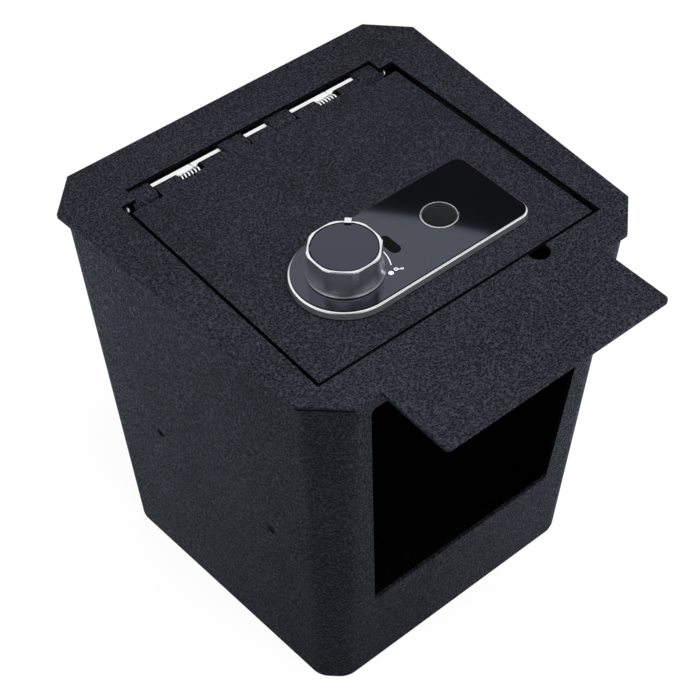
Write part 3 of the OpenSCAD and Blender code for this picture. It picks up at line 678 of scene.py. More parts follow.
def screw_tree(head: Piece) -> Tree:
    """Builds the tree that sets a screw on every point, each at its own angle.

    Args:
        head: one screw, made at the origin.

    Returns:
        The tree, with the screw's scale and its largest turn as inputs.
    """
    inputs = {"Geometry": GEOMETRY, "Size": 1.0, "Turn": 0.6, "Material": MATERIAL}
    canvas, source, sink = start_tree("GeometryNodeTree", "ScrewHeads", inputs, ("Geometry",), GEOMETRY)
    shape = canvas.add("GeometryNodeObjectInfo", {"Object": head}, transform_space="ORIGINAL")
    draw = {2: 0.0, 3: source.outputs["Turn"], "Seed": 7}
    turn = canvas.add("FunctionNodeRandomValue", draw, data_type="FLOAT")
    values = {
        "Points": source.outputs["Geometry"],
        "Instance": shape.outputs["Geometry"],
        "Rotation": canvas.add("ShaderNodeCombineXYZ", {"Z": turn.outputs[1]}).outputs[0],
        "Scale": source.outputs["Size"],
    }
    return end_tree(canvas, source, sink, canvas.add("GeometryNodeInstanceOnPoints", values))


# ---------------------------------------------------------------- sub-assemblies


@dataclass
class SafeBody:
    """Tub, rim plate with tongue, mat and what is welded under the rim."""

    bend: float = 4.0  # rounding of the tub's folded edges in millimetres
    sheet_edge: float = 0.45  # rounding of a cut sheet edge in millimetres
    shade_h: float = 1.2  # height of the painted shadow line under the cut corners in millimetres
    mouth_x: float = 82.0  # half the width of the field that holds the mouth and the hinge slot
    mouth_y: Flat = (-90.0, 68.0)  # front and back of that field
    tongue_y: float = -120.0  # behind it lie the four cut corners, before it the tongue

    def build(self) -> list[Piece]:
        """Dresses all pieces of the fixed body and returns them."""
        return [
            self.tub(),
            self.rim_plate(),
            coated("strike_channel", Part.SAFE, "inner_steel", INNER, 0.35),
            coated("rest_rails", Part.SAFE, "inner_steel", INNER, 0.3),
            coated("rail_pads", Part.SAFE, "foam", FOAM, 0.25),
            coated("floor_mat", Part.SAFE, "foam", FOAM, 0.5),
        ]

    def tub(self) -> Piece:
        """Dresses the tub: rounded folds, coat outside and painted shade on its inner skin.

        Returns:
            The tub.
        """
        mesh = solid_copy("tub_shell", POWDER, PAINTED_SHADE)
        with editing(mesh) as shaped:
            weights = shaped.edges.layers.float.new("bevel_weight_edge")
            # the inner skin gets painted shade
            for face in shaped.faces:
                face.material_index = int(self.is_inside(face))
            for edge in shaped.edges:
                edge[weights] = self.rounding(edge)
        piece = new_piece(mesh, POWDER, Part.SAFE, "powder_coat", "tub_shell")
        bevel = piece.modifiers.new("folds", "BEVEL")
        bevel.width = self.bend * MM
        bevel.segments = 5
        bevel.limit_method = "WEIGHT"
        bevel.harden_normals = True
        bevel.use_clamp_overlap = False
        return piece

    def rounding(self, edge: bmesh.types.BMEdge) -> float:
        """Share of the fold's rounding that an edge of the tub gets.

        Args:
            edge: the edge.

        Returns:
            1 for the folds at the corners, a small share for cut edges, else 0.
        """
        if len(edge.link_faces) != 2 or any(face.material_index == 1 for face in edge.link_faces):
            return 0.0
        least_fold, most_fold = 3, 60
        angle = math.degrees(edge.calc_face_angle(0.0))
        run = (edge.verts[0].co - edge.verts[1].co).normalized()
        if abs(run.z) > 0.15 and least_fold < angle < most_fold:
            return 1.0
        return self.sheet_edge / self.bend if angle > most_fold else 0.0

    def rim_plate(self) -> Piece:
        """Dresses the rim plate: coat all round, painted shade on the cut edges of its mouth.

        Returns:
            The rim plate.
        """
        piece = coated("top_frame", Part.SAFE, "powder_coat", POWDER, self.sheet_edge, 3)
        # painted shade on the cut edges of the mouth
        paint_shade_on(piece.data, lambda face: self.in_mouth(face.center) and abs(face.normal.z) < STEEP)
        self.corner_shade(piece.data)
        return piece

    def in_mouth(self, place: Vector) -> bool:
        """Tells whether a place lies in the field of the mouth."""
        return abs(place.x) < self.mouth_x * MM and self.mouth_y[0] * MM < place.y < self.mouth_y[1] * MM

    def at_cut(self, face: bmesh.types.BMFace) -> bool:
        """Tells whether a face lies on the diagonal edge of a cut corner."""
        diagonal = min(abs(face.normal.x), abs(face.normal.y)) > 0.35
        return diagonal and face.calc_center_median().y > self.tongue_y * MM

    def corner_shade(self, mesh: Mesh) -> None:
        """Paints a shadow on the lower part of the cut edge at the four cut corners.

        Args:
            mesh: the rim plate's mesh.
        """
        wide, narrow = 20e-6, 5e-6  # square metres of a whole edge and of its painted shadow part
        with editing(mesh) as shaped:
            low = min(v.co.z for v in shaped.verts) + self.shade_h * MM
            outer = [f for f in shaped.faces if f.material_index == 0 and self.at_cut(f) and f.calc_area() > wide]
            parts = {item for face in outer for item in (face, *face.edges, *face.verts)}
            bmesh.ops.bisect_plane(shaped, geom=list(parts), plane_co=(0.0, 0.0, low), plane_no=(0.0, 0.0, 1.0))
            for face in shaped.faces:
                if self.at_cut(face) and face.calc_center_median().z < low and face.calc_area() > narrow:
                    face.material_index = 1

    def is_inside(self, face: bmesh.types.BMFace) -> bool:
        """Tells whether a face of the tub looks into the cavity.

        Args:
            face: the face.

        Returns:
            True for the inner skin.
        """
        floor_top, middle_y, cut_edge = 0.02, -0.008, 30e-6  # two places and the largest area of a cut edge
        middle = face.calc_center_median()
        if abs(face.normal.z) > 0.9:
            return face.normal.z > 0 and middle.z < floor_top
        outward = face.normal.x * middle.x + face.normal.y * (middle.y - middle_y)
        return outward < 0 and face.calc_area() > cut_edge


@dataclass
class LidHinge:
    """Fixed knuckles, zinc leaf, pin and the two wound springs."""

    axis_y: float = 60.7  # place of the hinge axis in millimetres
    axis_z: float = 229.1  # height of the hinge axis in millimetres
    spring_x: float = 40.6  # distance of each coil from the middle
    coil_r: float = 2.05  # radius of the coil to the wire's middle
    wire_r: float = 0.4  # radius of the wire
    coil_l: float = 12.0  # length of a coil
    turns: int = 6  # turns of a coil
    leg_front: float = 11.0  # length of the leg under the lid
    leg_back: float = 8.0  # length of the leg under the leaf
    cover_y: float = 66.6  # where the rim plate starts to cover the leaf; behind it the leaf gets painted shade
    bare_x: float = 75.6  # distance from the middle where the pin's bare zinc ends start; nearer the middle it gets painted shade
    rise_front: float = 2.45  # how far the tip of the front leg stands over the coil's foot
    rise_back: float = 1.35  # how far the tip of the back leg stands over it
    turn_steps: int = 28  # points of the wire's path in a turn
    sides: int = 14  # sides of the wire

    def build(self) -> list[Piece]:
        """Dresses the hinge and returns its pieces."""
        return [
            self.tabs(),
            # the leaf gets painted shade where the rim plate covers it
            self.half_shaded("hinge_leaf", 1, (self.cover_y,), lambda place: place.y > self.cover_y * MM),
            self.pin(),
            self.spring("spring_left", -1.0),
            self.spring("spring_right", 1.0),
        ]

    def tabs(self) -> Piece:
        """Dresses the fixed knuckles, with painted shade on the rounded edges round each of them.

        Returns:
            The knuckles.
        """
        piece = coated("hinge_tabs", Part.SAFE, "powder_coat", POWDER, 0.8)
        piece.data.materials.append(PAINTED_SHADE.material())
        # the rounded edges get painted shade
        piece.modifiers["soft_edges"].material = 1
        return piece

    def half_shaded(self, node: str, axis: int, cuts: Sequence[float], dark: Callable[[Vector], bool]) -> Piece:
        """Dresses a piece of zinc that gets painted shade where others cover it.

        Args:
            node: the node.
            axis: 0 for cuts across X, 1 for cuts across Y.
            cuts: places of the cuts between bare zinc and painted shade in millimetres.
            dark: tells whether a place gets painted shade.

        Returns:
            The piece.
        """
        mesh = solid_copy(node, ZINC, PAINTED_SHADE)
        with editing(mesh) as shaped:
            for cut in cuts:
                place, across = [0.0] * 3, [0.0] * 3
                place[axis], across[axis] = cut * MM, 1.0
                whole = [*shaped.verts, *shaped.edges, *shaped.faces]
                bmesh.ops.bisect_plane(shaped, geom=whole, plane_co=place, plane_no=across)
            # covered faces get painted shade
            for face in shaped.faces:
                face.material_index = int(dark(face.calc_center_median()))
        return new_piece(mesh, ZINC, Part.SAFE, "zinc", node)

    def pin(self) -> Piece:
        """Dresses the pin: bare zinc at its ends, painted shade where it runs in knuckles and springs.

        Returns:
            The pin.
        """
        # painted shade along the middle of the pin
        cuts = (-self.bare_x, self.bare_x)
        piece = self.half_shaded("hinge_pin", 0, cuts, lambda place: abs(place.x) < self.bare_x * MM)
        soft_edges(piece, 0.3)
        return piece

    def spring_path(self, side: float) -> list[Point]:
        """Works out the wire's middle line: leg, coil and leg.

        Args:
            side: -1 for the left spring and 1 for the right one.

        Returns:
            Points in millimetres.
        """
        x0, x1 = -self.coil_l / 2 + self.wire_r, self.coil_l / 2 - self.wire_r
        path: list[Point] = []
        for i in range(10, 0, -1):
            f = i / 10
            path.append((x0, -self.leg_front * f, -self.coil_r + self.rise_front * f * f))
        steps = self.turn_steps * self.turns
        for i in range(steps + 1):
            f = i / steps
            a = math.radians(-90 + 360 * self.turns * f)
            path.append((x0 + (x1 - x0) * f, self.coil_r * math.cos(a), self.coil_r * math.sin(a)))
        for i in range(1, 8):
            f = i / 7
            path.append((x1, self.leg_back * f, -self.coil_r + self.rise_back * f * f))
        return [(side * (self.spring_x + x), self.axis_y + y, self.axis_z + z) for x, y, z in path]

    def spring(self, node: str, side: float) -> Piece:
        """Winds one spring from round wire.

        Args:
            node: the spring's node.
            side: -1 for left and 1 for right.

        Returns:
            The spring.
        """
        path = self.spring_path(side)
        line = bpy.data.meshes.new(f"{node}_path")
        line.from_pydata([Vector(p) * MM for p in path], [(i, i + 1) for i in range(len(path) - 1)], [])
        values = {"Radius": self.wire_r * MM, "Sides": self.sides, "Material": ZINC.material()}
        made = run_tree(wire_tree(), line, values, f"{node}_wound")
        return new_piece(made, ZINC, Part.SAFE, "zinc", node)


@dataclass
class LidPlate:
    """Lid plate and the straps under its front edge."""

    sheet_edge: float = 0.4  # rounding of the cut edges in millimetres

    def build(self) -> list[Piece]:
        """Dresses the lid and its straps and returns them."""
        return [self.plate(), coated("bolt_guides", Part.LID, "inner_steel", INNER, 0.3)]

    def plate(self) -> Piece:
        """Dresses the lid plate: coat on its faces, painted shade on its cut edges.

        Returns:
            The lid plate.
        """
        plate = coated("lid_plate", Part.LID, "powder_coat", POWDER, self.sheet_edge, 3)
        # painted shade on the cut edges
        paint_shade_on(plate.data, lambda face: abs(face.normal.z) < STEEP)
        return plate


@dataclass
class LockPanel:
    """Chromed housing with its glossy face, sensor, port plug and printed signs."""

    length: float = 111.0  # length of the panel in millimetres
    width: float = 48.5  # width of the panel
    centre_y: float = -41.9  # place of its centre line
    low: float = 232.7  # height of its foot
    height: float = 4.8  # height over the lid
    draft: float = 1.0  # how much wider the housing is than the glass on each side
    corner: float = 6.0  # radius of the square end's corners
    glass_in: float = 0.2  # how far the glass stands inside the outline
    glass_lap: float = 0.55  # thickness of the glass over the ledge
    ledge: float = 0.9  # width of the ledge that the glass laps over
    gap_h: float = 0.7  # height of the gap at its foot, whose faces get painted shade
    gap_in: float = 0.45  # depth of the gap at its foot
    lean: float = 0.25  # how far the side leans in below the shoulder
    sign_r: float = 19.8  # radius of the printed arc round the knob
    sign_w: float = 0.24  # half the width of its line
    arc: Flat = (-4.6, 26.4)  # where it starts and how far it runs clockwise, in degrees
    ink_h: float = 0.02  # height of the ink over the face
    glass_h: float = 1.6  # thickness of the glass
    glass_edge: float = 0.42  # width of the glass's rounded border that gets painted shade
    dot_at: Flat = (19.6, -45.0)  # radius and angle of the printed dot
    key_at: Flat = (21.6, -38.4)  # radius and angle of the key sign's bow
    key_turn: float = -39.0  # angle at which the key sign lies

    @property
    def knob_x(self) -> float:
        """Place of the knob's axis."""
        return -self.length / 2 + self.width / 2

    @property
    def top(self) -> float:
        """Height of the glossy face and of the rim's top."""
        return self.low + self.height

    def outline(self, inset: float, z: float) -> Ring:
        """Draws the panel's outline.

        Args:
            inset: how far it lies inside the rim's outline.
            z: its height.

        Returns:
            A ring of points.
        """
        half = self.width / 2 - inset
        r = max(self.corner - inset, 1.0)
        end = self.length / 2 - inset
        ring: Ring = []
        for i in range(97):
            a = math.radians(90 + 180 * i / 96)
            ring.append((self.knob_x + half * math.cos(a), self.centre_y + half * math.sin(a), z))
        for side, start in ((-1, -90), (1, 0)):
            for i in range(13):
                a = math.radians(start + 90 * i / 12)
                x = end - r + r * math.cos(a)
                ring.append((x, self.centre_y + side * (half - r) + r * math.sin(a), z))
        return ring

    def build(self) -> list[Piece]:
        """Builds the housing, dresses what sits in it and returns the pieces."""
        return [
            self.housing(),
            self.glass(),
            coated("sensor_ring", Part.LID, "chrome", CHROME, 0.15, 3),
            coated("sensor_pad", Part.LID, "sensor_black", SENSOR, 0.1),
            coated("port_plug", Part.PLUG, "rubber", RUBBER, 0.3, 3),
            dress("port_socket", STEEL),
            self.signs(),
        ]

    def housing(self) -> Piece:
        """Lofts the housing: gap at the foot with painted shade, upright side, rounded shoulder, ledge and pocket.

        Returns:
            The housing.
        """
        round_r = self.glass_in + self.draft - self.lean
        turn = self.top - self.glass_lap - round_r
        inner = -self.draft + self.gap_in
        profile = [(inner, self.low), (inner, self.low + self.gap_h), (-self.draft, self.low + self.gap_h)]
        for i in range(13):
            a = math.radians(90 * i / 12)
            profile.append((self.glass_in - round_r * math.cos(a), turn + round_r * math.sin(a)))
        profile += [(self.ledge, self.top - self.glass_lap), (self.ledge, self.top - self.glass_h)]
        mesh = loft("lock_housing", [self.outline(inset, z) for inset, z in profile])
        piece = new_piece(mesh, BEZEL_CHROME, Part.LID, "chrome", "lock_bezel")
        crisp(piece, 40)
        # the faces of the gap at the foot get painted shade
        foot = (self.low + self.gap_h + 0.01) * MM
        paint_shade_on(mesh, lambda face: all(mesh.vertices[v].co.z < foot for v in face.vertices))
        return piece

    def glass(self) -> Piece:
        """Dresses the cover glass: glossy on top, painted shade on its border and its cut edge.

        Returns:
            The glass.
        """
        piece = coated("lock_face", Part.LID, "gloss_face", FACE, self.glass_edge)
        # painted shade on the cut edge and on the rounded border
        paint_shade_on(piece.data, lambda face: abs(face.normal.z) < STEEP)
        piece.modifiers["soft_edges"].material = 1
        return piece

    def signs(self) -> Piece:
        """Prints the knob's arc, dot and key sign on the face.

        Returns:
            The ink.
        """
        points: list[Point] = []
        faces: list[list[int]] = []
        z = self.top + self.ink_h

        def strip(outer: list[Flat], inner: list[Flat], closed: bool = False) -> None:
            """Adds a flat band between two lines of equally many points.

            Args:
                outer: points of one line.
                inner: points of the other line.
                closed: whether the band runs round.
            """
            base, count = len(points), len(outer)
            points.extend((x, y, z) for x, y in outer + inner)
            for i in range(count if closed else count - 1):
                j = (i + 1) % count
                faces.append([base + i, base + j, base + count + j, base + count + i])

        def at(r: float, degrees: float) -> Flat:
            """Place at a radius and an angle round the knob."""
            a = math.radians(degrees)
            return self.knob_x + r * math.cos(a), self.centre_y + r * math.sin(a)

        start, run = self.arc
        sweep = [start - run * i / 24 for i in range(25)]
        strip(*([at(r, a) for a in sweep] for r in (self.sign_r + self.sign_w, self.sign_r - self.sign_w)))
        cx, cy = at(*self.dot_at)
        dot = [(math.cos(math.tau * i / 28), math.sin(math.tau * i / 28)) for i in range(28)]
        strip(*([(cx + r * x, cy + r * y) for x, y in dot] for r in (1.2, 0.1)), True)
        key = math.radians(self.key_turn)
        along, aside = (math.cos(key), math.sin(key)), (-math.sin(key), math.cos(key))
        bx, by = at(*self.key_at)

        def local(u: float, v: float) -> Flat:
            """Place along and beside the key sign."""
            return bx + u * along[0] + v * aside[0], by + u * along[1] + v * aside[1]

        strip(*([local(r * x, r * y) for x, y in dot] for r in (0.95, 0.42)), True)
        for u0, u1, v0, v1 in ((0.9, 3.3, -0.22, 0.22), (2.0, 2.4, 0.2, 0.85), (2.85, 3.3, 0.2, 1.0)):
            strip([local(u0, v0), local(u1, v0)], [local(u0, v1), local(u1, v1)])
        mesh = mesh_of("printed_signs", points, faces)
        with editing(mesh) as shaped:
            for face in shaped.faces:
                if face.normal.z < 0:
                    face.normal_flip()
        return new_piece(mesh, INK, Part.LID, "gloss_face")


@dataclass
class Knob:
    """Faceted knob with cap and pointer, and what turns under it."""

    x: float = -31.25  # place of its axis
    y: float = -41.9  # place of its axis
    low: float = 237.8  # height of its foot
    height: float = 14.3  # its height
    foot_r: float = 17.5  # radius of its foot
    rim_r: float = 16.6  # radius of its rim between two facets
    waist_r: float = 16.95  # radius of its side over the flared foot
    flare_h: float = 2.2  # height of the flared foot
    flat_r: float = 15.9  # distance from its axis to a facet at the rim
    facets: int = 8  # number of facets
    cap_r: float = 14.8  # radius of the cap's seat
    cap_gap: float = 0.2  # width of the gap round the cap, whose pocket wall gets painted shade
    first: float = 45.0  # angle of the pointer and of one facet
    soft: float = 0.14  # how softly a facet runs into the round
    bow: float = 0.6  # how the side bows between waist and rim, 1 for straight
    rim_h: float = 0.5  # height of the bright rim
    pocket_h: float = 1.6  # depth of the pocket that the cap sits in

    def build(self) -> list[Piece]:
        """Builds the knob and returns its pieces."""
        return [
            self.grip(),
            self.cap(),
            coated("knob_pointer", Part.KNOB, "chrome", CHROME, 0.2, 3),
            dress("spindle", STEEL),
            dress("spindle_bushing", BRONZE),
            coated("crank_disc", Part.KNOB, "steel", STEEL, 0.25),
        ]

    def radius(self, angle: float, h: float) -> float:
        """Radius of the grip's side at an angle and a height.

        Args:
            angle: angle in degrees.
            h: height over the foot.

        Returns:
            The radius in millimetres.
        """
        step = 360 / self.facets
        off = (angle - self.first + step / 2) % step - step / 2
        flat = self.flat_r / math.cos(math.radians(off))
        mix = max(0.0, min(1.0, 0.5 + 0.5 * (self.rim_r - flat) / self.soft))
        rim = self.rim_r + (flat - self.rim_r) * mix - self.soft * mix * (1 - mix)
        rise = max(0.0, (h - self.flare_h) / (self.height - self.flare_h))
        flare = (self.foot_r - self.waist_r) * max(0.0, 1 - h / self.flare_h) ** 2
        return self.waist_r + flare + (rim - self.waist_r) * rise**self.bow

    def ring(self, h: float, inset: float = 0.0, fixed: float | None = None) -> Ring:
        """One ring of the grip.

        Args:
            h: height over the foot.
            inset: how far it lies inside the side.
            fixed: a plain radius in place of the side's.

        Returns:
            A ring of points.
        """
        count = 384
        ring: Ring = []
        for i in range(count):
            angle = 360 * i / count
            r = fixed if fixed is not None else self.radius(angle, h) - inset
            a = math.radians(angle)
            ring.append((self.x + r * math.cos(a), self.y + r * math.sin(a), self.low + h))
        return ring

    def grip(self) -> Piece:
        """Lofts the grip: rounded foot, leaning facets, rim and a pocket whose wall gets painted shade.

        Returns:
            The grip.
        """
        top = self.height
        rings = [self.ring(0.0, 0.9), self.ring(0.05, 0.25), self.ring(0.15, 0.06)]
        rings += [self.ring(0.25 + (self.flare_h - 0.25) * i / 8) for i in range(8)]
        rings += [self.ring(self.flare_h + (top - 0.45 - self.flare_h) * i / 18) for i in range(19)]
        lip = ((0.3, 0.05), (0.18, 0.14), (0.07, 0.28), (0.0, 0.46))
        rings += [self.ring(top - down, inset) for down, inset in lip]
        edge = self.cap_r + 0.1
        rings += [self.ring(top, fixed=edge + 0.2), self.ring(top - 0.15, fixed=edge)]
        rings += [self.ring(top - self.pocket_h, fixed=edge)]
        mesh = loft("knob_grip", rings)
        piece = new_piece(mesh, CHROME, Part.KNOB, "chrome", "knob_shell")
        crisp(piece, 50)
        # the pocket wall round the cap gets painted shade
        for finish in (KNOB_SIDE, PAINTED_SHADE):
            mesh.materials.append(finish.material())
        rim = (self.low + self.height - self.rim_h) * MM
        for face in mesh.polygons:
            reach = math.hypot(face.center.x / MM - self.x, face.center.y / MM - self.y)
            face.material_index = 2 if reach < edge + 0.05 else int(face.center.z < rim)
        return piece

    def cap(self) -> Piece:
        """Turns the glossy cap, with a softened edge.

        Returns:
            The cap.
        """
        z0 = self.height - self.pocket_h
        r = self.cap_r - self.cap_gap
        edge = [(r, 0.0), (r, 1.05), (r - 0.08, 1.22), (r - 0.25, 1.3)]
        mesh = loft("knob_cap_disc", [self.ring(z0 + up, fixed=reach) for reach, up in edge])
        piece = new_piece(mesh, CAP, Part.KNOB, "knob_cap", "knob_cap")
        crisp(piece, 30)
        return piece


@dataclass
class LockCase:
    """Case under the lid with its cover, screws, batteries, board and bolt work."""

    screw_x: float = 42.0  # distance of the screws from the middle
    screw_y: float = 17.0  # distance of the screws from the centre line
    centre_y: float = -41.9  # place of the centre line
    cover_z: float = 204.2  # height of the cover's underside
    tip_z: float = 235.2  # height of the screws' tips
    head_r: float = 3.0  # radius of a screw head
    head_h: float = 1.8  # height of a screw head
    shank_r: float = 1.5  # radius of a screw's shank

    def build(self) -> list[Piece]:
        """Dresses the case and what is in it, and returns the pieces."""
        return [
            coated("lock_case", Part.LID, "case_plastic", PLASTIC, 0.5, 3),
            coated("case_cover", Part.LID, "case_plastic", PLASTIC, 0.4, 3),
            coated("battery_cover", Part.LID, "case_plastic", PLASTIC, 0.3, 3),
            coated("battery_tray", Part.LID, "case_plastic", PLASTIC, 0.3),
            coated("battery_cells", Part.LID, "cell", SLEEVE, 0.3),
            coated("circuit_board", Part.LID, "board", BOARD, 0.1),
            coated("solenoid", Part.LID, "bronze", BRONZE, 0.3),
            coated("blocking_plunger", Part.PLUNGER, "steel", STEEL, 0.2),
            coated("bolt_plate", Part.BOLTS, "steel", STEEL, 0.3),
            coated("cover_screw", Part.LID, "steel", STEEL, 0.15),
            self.screws(),
        ]

    def head(self) -> Piece:
        """Turns one pan head with a cross recess and its shank, head down.

        Returns:
            A loose object at the origin.
        """
        turns = [math.tau * i / 32 for i in range(32)]
        cross = [0.75 if abs((i % 8) - 4) > 2 else 0.28 for i in range(32)]
        profile = [
            (self.shank_r, self.tip_z - self.cover_z), (self.shank_r, 0.0), (self.head_r, 0.0),
            (self.head_r, -0.7), (self.head_r - 0.25, -1.25), (self.head_r - 0.9, -1.7), (1.85, -self.head_h),
        ]
        levels = [([r] * 32, z) for r, z in profile]
        for z, grow in ((-self.head_h, 1.0), (-0.9, 0.8), (-0.5, 0.3)):
            levels.append(([2.0 * grow * arm for arm in cross], z))
        rings = [[(r * math.cos(a), r * math.sin(a), z) for r, a in zip(reach, turns)] for reach, z in levels]
        head = bpy.data.objects.new("one_screw", loft("one_screw", rings))
        crisp(head, 35)
        return head

    def screws(self) -> Piece:
        """Sets the four case screws on their points.

        Returns:
            The screws.
        """
        seats = bpy.data.meshes.new("screw_seats")
        corners = [(sx * self.screw_x, sy * self.screw_y) for sx in (-1, 1) for sy in (-1, 1)]
        seats.from_pydata([Vector((x, self.centre_y + y, self.cover_z)) * MM for x, y in corners], [], [])
        values = {"Size": 1.0, "Turn": 0.6, "Material": STEEL.material()}
        made = run_tree(screw_tree(self.head()), seats, values, "case_screws_set")
        return new_piece(made, STEEL, Part.LID, "steel", "case_screws")


# ---------------------------------------------------------------- studio


@dataclass
class Studio:
    """Pale floor, soft light, reflection cards and the camera."""

    sky: float = 0.5  # strength of the soft light from above
    horizon: float = 0.16  # strength of the soft light from the sides
    key: float = 4.9  # power of the large soft light
    paper: float = 0.5  # how pale the floor is as light bounces off it
    white: float = 0.93  # how far the floor shows plain white to the camera
    shade: float = 0.12  # how much of the floor's shadow it shows
    painted_near: float = 0.08  # painted light: how pale it looks in reflections at the front corner
    painted_far: float = 1.12  # painted light: how much paler half a metre away
    painted_right: float = 0.06  # painted light: how much paler on the right
    azimuth: float = -37.493  # camera's angle round the safe
    elevation: float = 47.443  # camera's angle over the floor
    roll: float = -2.524  # camera's roll
    focal: float = 1573.92  # focal length in pixels of a 700 pixel frame
    floor_l: float = 6000.0  # half the length of the floor in millimetres
    floor_z: float = -0.05  # its height, a little under the safe
    dark: Flat = (0.078, 0.066)  # half the width and depth of its painted shadow under the safe, in metres
    painted_dim_at: Flat = (-0.19, -0.17)  # where the painted shade in reflections is dimmest, in metres
    painted_out: float = 0.3  # painted light: how much paler still beyond half a metre
    box: float = 0.45  # width of the large soft light in metres
    eye: Point = (-323.05, -423.05, 710.13)  # place of the camera in millimetres

    def build(self) -> list[Piece]:
        """Sets up floor, light and camera, and returns what stands in the studio."""
        bpy.context.scene.view_settings.view_transform = "Standard"
        self.world()
        return [self.floor(), self.lamp(), *self.cards(), self.camera()]

    def floor(self) -> Piece:
        """Lays a pale floor that keeps a faint shadow, with a painted shadow under the safe and painted light and
        shade in reflections.

        Returns:
            The floor.
        """
        far, z = self.floor_l, self.floor_z
        corners = [(-far, -far, z), (far, -far, z), (far, far, z), (-far, far, z)]
        floor = bpy.data.objects.new("studio_floor", mesh_of("studio_floor", corners, [[0, 1, 2, 3]]))
        bpy.context.scene.collection.objects.link(floor)
        made = bpy.data.materials.new("pale_floor")
        canvas = cleared(made)
        place = canvas.add("ShaderNodeSeparateXYZ", {0: canvas.add("ShaderNodeTexCoord").outputs["Object"]})
        reach = [canvas.maths("ABSOLUTE", place.outputs[axis]) for axis in (0, 1)]
        # painted shadow: the floor is near black under the safe
        under = canvas.maths("MULTIPLY", *(canvas.maths("LESS_THAN", *pair) for pair in zip(reach, self.dark)))
        path = canvas.add("ShaderNodeLightPath")
        mirrored = canvas.maths("MAXIMUM", path.outputs["Is Glossy Ray"], path.outputs["Is Transmission Ray"])
        white = canvas.glow("ShaderNodeEmission", WHITE, self.white)
        shown = canvas.add("ShaderNodeAddShader", {0: canvas.matt(self.shade), 1: white}).outputs[0]
        direct = canvas.mix(path.outputs["Is Camera Ray"], canvas.matt(self.paper), shown)
        # reflections see painted light and shade on the floor
        pale = canvas.glow("ShaderNodeEmission", (0.9, 0.965, 1.12), self.painted_floor_light(canvas, place))
        mix = canvas.mix(under, canvas.mix(mirrored, direct, pale), canvas.matt(0.002))
        canvas.add("ShaderNodeOutputMaterial", {"Surface": mix})
        floor.data.materials.append(made)
        return floor

    def painted_floor_light(self, canvas: Canvas, place: Any) -> Any:
        """Painted light and shade of the floor in reflections: a painted shadow dim at the front corner, brighter
        away from it and to the right.

        Args:
            canvas: the floor's canvas.
            place: the separated Object coordinates.

        Returns:
            The output socket.
        """
        shifts = [canvas.maths("SUBTRACT", place.outputs[i], middle) for i, middle in enumerate(self.painted_dim_at)]
        squares = canvas.maths("ADD", *(canvas.maths("MULTIPLY", shift, shift) for shift in shifts))
        far = canvas.maths("SQRT", squares)
        total: Any = self.painted_near
        for value, span, gain in (
            (far, (0.02, 0.5), self.painted_far),
            (far, (0.5, 1.6), self.painted_out),
            (place.outputs[0], (0.05, 0.2), self.painted_right),
        ):
            ramp = canvas.remap(value, span, (0.0, gain), interpolation_type="SMOOTHSTEP")
            total = canvas.maths("ADD", ramp, total)
        return total

    def world(self) -> None:
        """Makes the world white where it is seen; as light it dims towards the horizon."""
        world = bpy.data.worlds.new("soft_room")
        bpy.context.scene.world = world
        canvas = cleared(world)
        way = canvas.add("ShaderNodeTexCoord").outputs["Generated"]
        up = canvas.add("ShaderNodeSeparateXYZ", {0: way}).outputs[2]
        level = canvas.remap(up, (0.0, 0.8), (self.horizon, self.sky))
        soft, white = (canvas.glow("ShaderNodeBackground", WHITE, power) for power in (level, 1.0))
        path = canvas.add("ShaderNodeLightPath")
        seen = canvas.maths("MAXIMUM", path.outputs["Is Camera Ray"], path.outputs["Is Glossy Ray"])
        seen = canvas.maths("MAXIMUM", seen, path.outputs["Is Transmission Ray"])
        canvas.add("ShaderNodeOutputWorld", {"Surface": canvas.mix(seen, soft, white)})

    def lamp(self) -> Piece:
        """Hangs one large soft light over the safe, which reflections don't see.

        Returns:
            The light.
        """
        lamp = bpy.data.lights.new("soft_box", "AREA")
        lamp.shape = "RECTANGLE"
        lamp.size = lamp.size_y = self.box
        lamp.energy = self.key
        box = bpy.data.objects.new("soft_box", lamp)
        box.location = (0.0, -0.24, 0.86)
        box.visible_glossy = False
        aim = Vector((0.0, -0.02, 0.2)) - box.location
        box.rotation_mode = "QUATERNION"
        box.rotation_quaternion = aim.to_track_quat("-Z", "Y")
        bpy.context.scene.collection.objects.link(box)
        return box

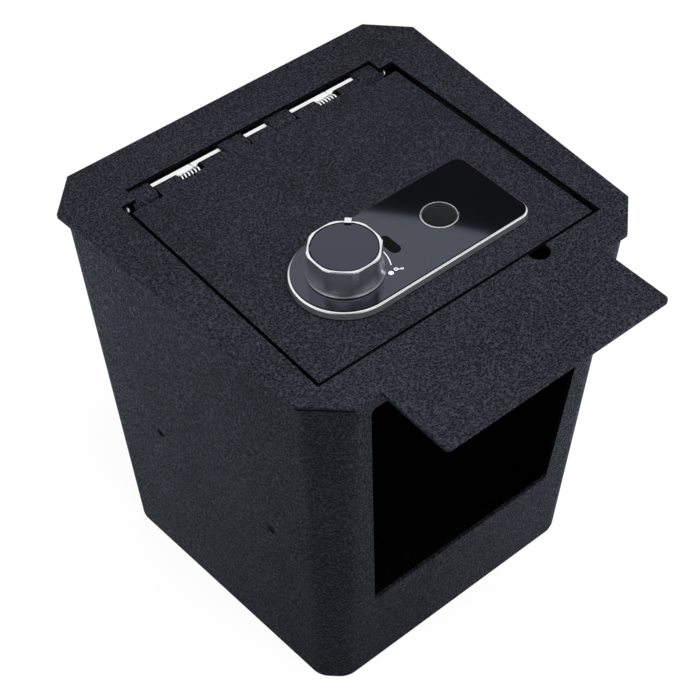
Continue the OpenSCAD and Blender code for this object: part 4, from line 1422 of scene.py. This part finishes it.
    def cards(self) -> list[Piece]:
        """Hangs dark cards that only reflections see, as a studio's flags.

        Returns:
            The cards.
        """
        edge = [(62, 222), (126.7, 139.8), (145.2, 116.0), (168.0, 77.2), (176.0, 58.0), (196.0, 10.0)]
        far = [(420.0, 10.0), (420.0, 222.0)]
        horizon = [(20.0, 1500.0, 50.0), (1440.0, 400.0, 50.0), (1440.0, 400.0, 1020.0), (20.0, 1500.0, 1020.0)]
        ring: Ring = []
        (x0, y0, z0), reach, count = (-31, -42, 245), 900.0, 12  # round a point in the knob
        for up in (38.0, 54.0):
            for k in range(count + 1):
                a, e = math.radians(165 + 15 * k), math.radians(up)
                flat = reach * math.cos(e)
                ring.append((x0 + flat * math.cos(a), y0 + flat * math.sin(a), z0 + reach * math.sin(e)))
        post = [(-750.0, -430.0, 235.0), (-300.0, -890.0, 235.0), (-240.0, -700.0, 850.0), (-590.0, -350.0, 850.0)]
        return [
            self.card("panel_flag", [(x, y, 423.2) for x, y in edge + far]),
            self.card("horizon_flag", horizon),
            self.card("ring_flag", ring, [[k, k + 1, k + count + 2, k + count + 1] for k in range(count)]),
            self.card("eye_flag", post),
        ]

    def card(self, name: str, corners: Ring, faces: list[list[int]] | None = None) -> Piece:
        """Hangs one dark card.

        Args:
            name: the card's name.
            corners: its corners in millimetres.
            faces: its faces where it isn't a single one.

        Returns:
            The card.
        """
        mesh = mesh_of(name, corners, faces or [list(range(len(corners)))])
        made = bpy.data.materials.new(f"{name}_black")
        canvas = cleared(made)
        glow = canvas.glow("ShaderNodeEmission", (0.02, 0.02, 0.022), 1.0)
        canvas.add("ShaderNodeOutputMaterial", {"Surface": glow})
        mesh.materials.append(made)
        card = bpy.data.objects.new(name, mesh)
        bpy.context.scene.collection.objects.link(card)
        for ray in ("camera", "diffuse", "shadow", "transmission"):
            setattr(card, f"visible_{ray}", False)
        return card

    def camera(self) -> Piece:
        """Places the camera at the photograph's view.

        Returns:
            The camera.
        """
        az, el, roll = (math.radians(a) for a in (self.azimuth, self.elevation, self.roll))
        back = Vector((math.sin(az) * math.cos(el), -math.cos(az) * math.cos(el), math.sin(el)))
        right = (-back).cross(Vector((0, 0, 1))).normalized()
        up = right.cross(-back)
        side = math.cos(roll) * right + math.sin(roll) * up
        head = -math.sin(roll) * right + math.cos(roll) * up
        lens = bpy.data.cameras.new("camera")
        lens.sensor_width = 36.0
        lens.lens = 36.0 * self.focal / 700.0
        lens.clip_start = 0.01
        eye = bpy.data.objects.new("camera", lens)
        turn = Matrix((side, head, back)).transposed().to_4x4()
        eye.matrix_world = Matrix.Translation(Vector(self.eye) * MM) @ turn
        bpy.context.scene.collection.objects.link(eye)
        bpy.context.scene.camera = eye
        return eye


def main() -> None:
    """Builds the safe's looks piece by piece."""
    logging.basicConfig(level=logging.INFO, format="%(message)s")
    builders: list[Callable[[], Any]] = [SafeBody, LidHinge, LidPlate, LockPanel, Knob, LockCase, Studio]
    for make in builders:
        assembly = make()
        for piece in assembly.build():
            LOG.info("%s: %s", type(assembly).__name__, piece.name)


if __name__ == "__main__":
    main()
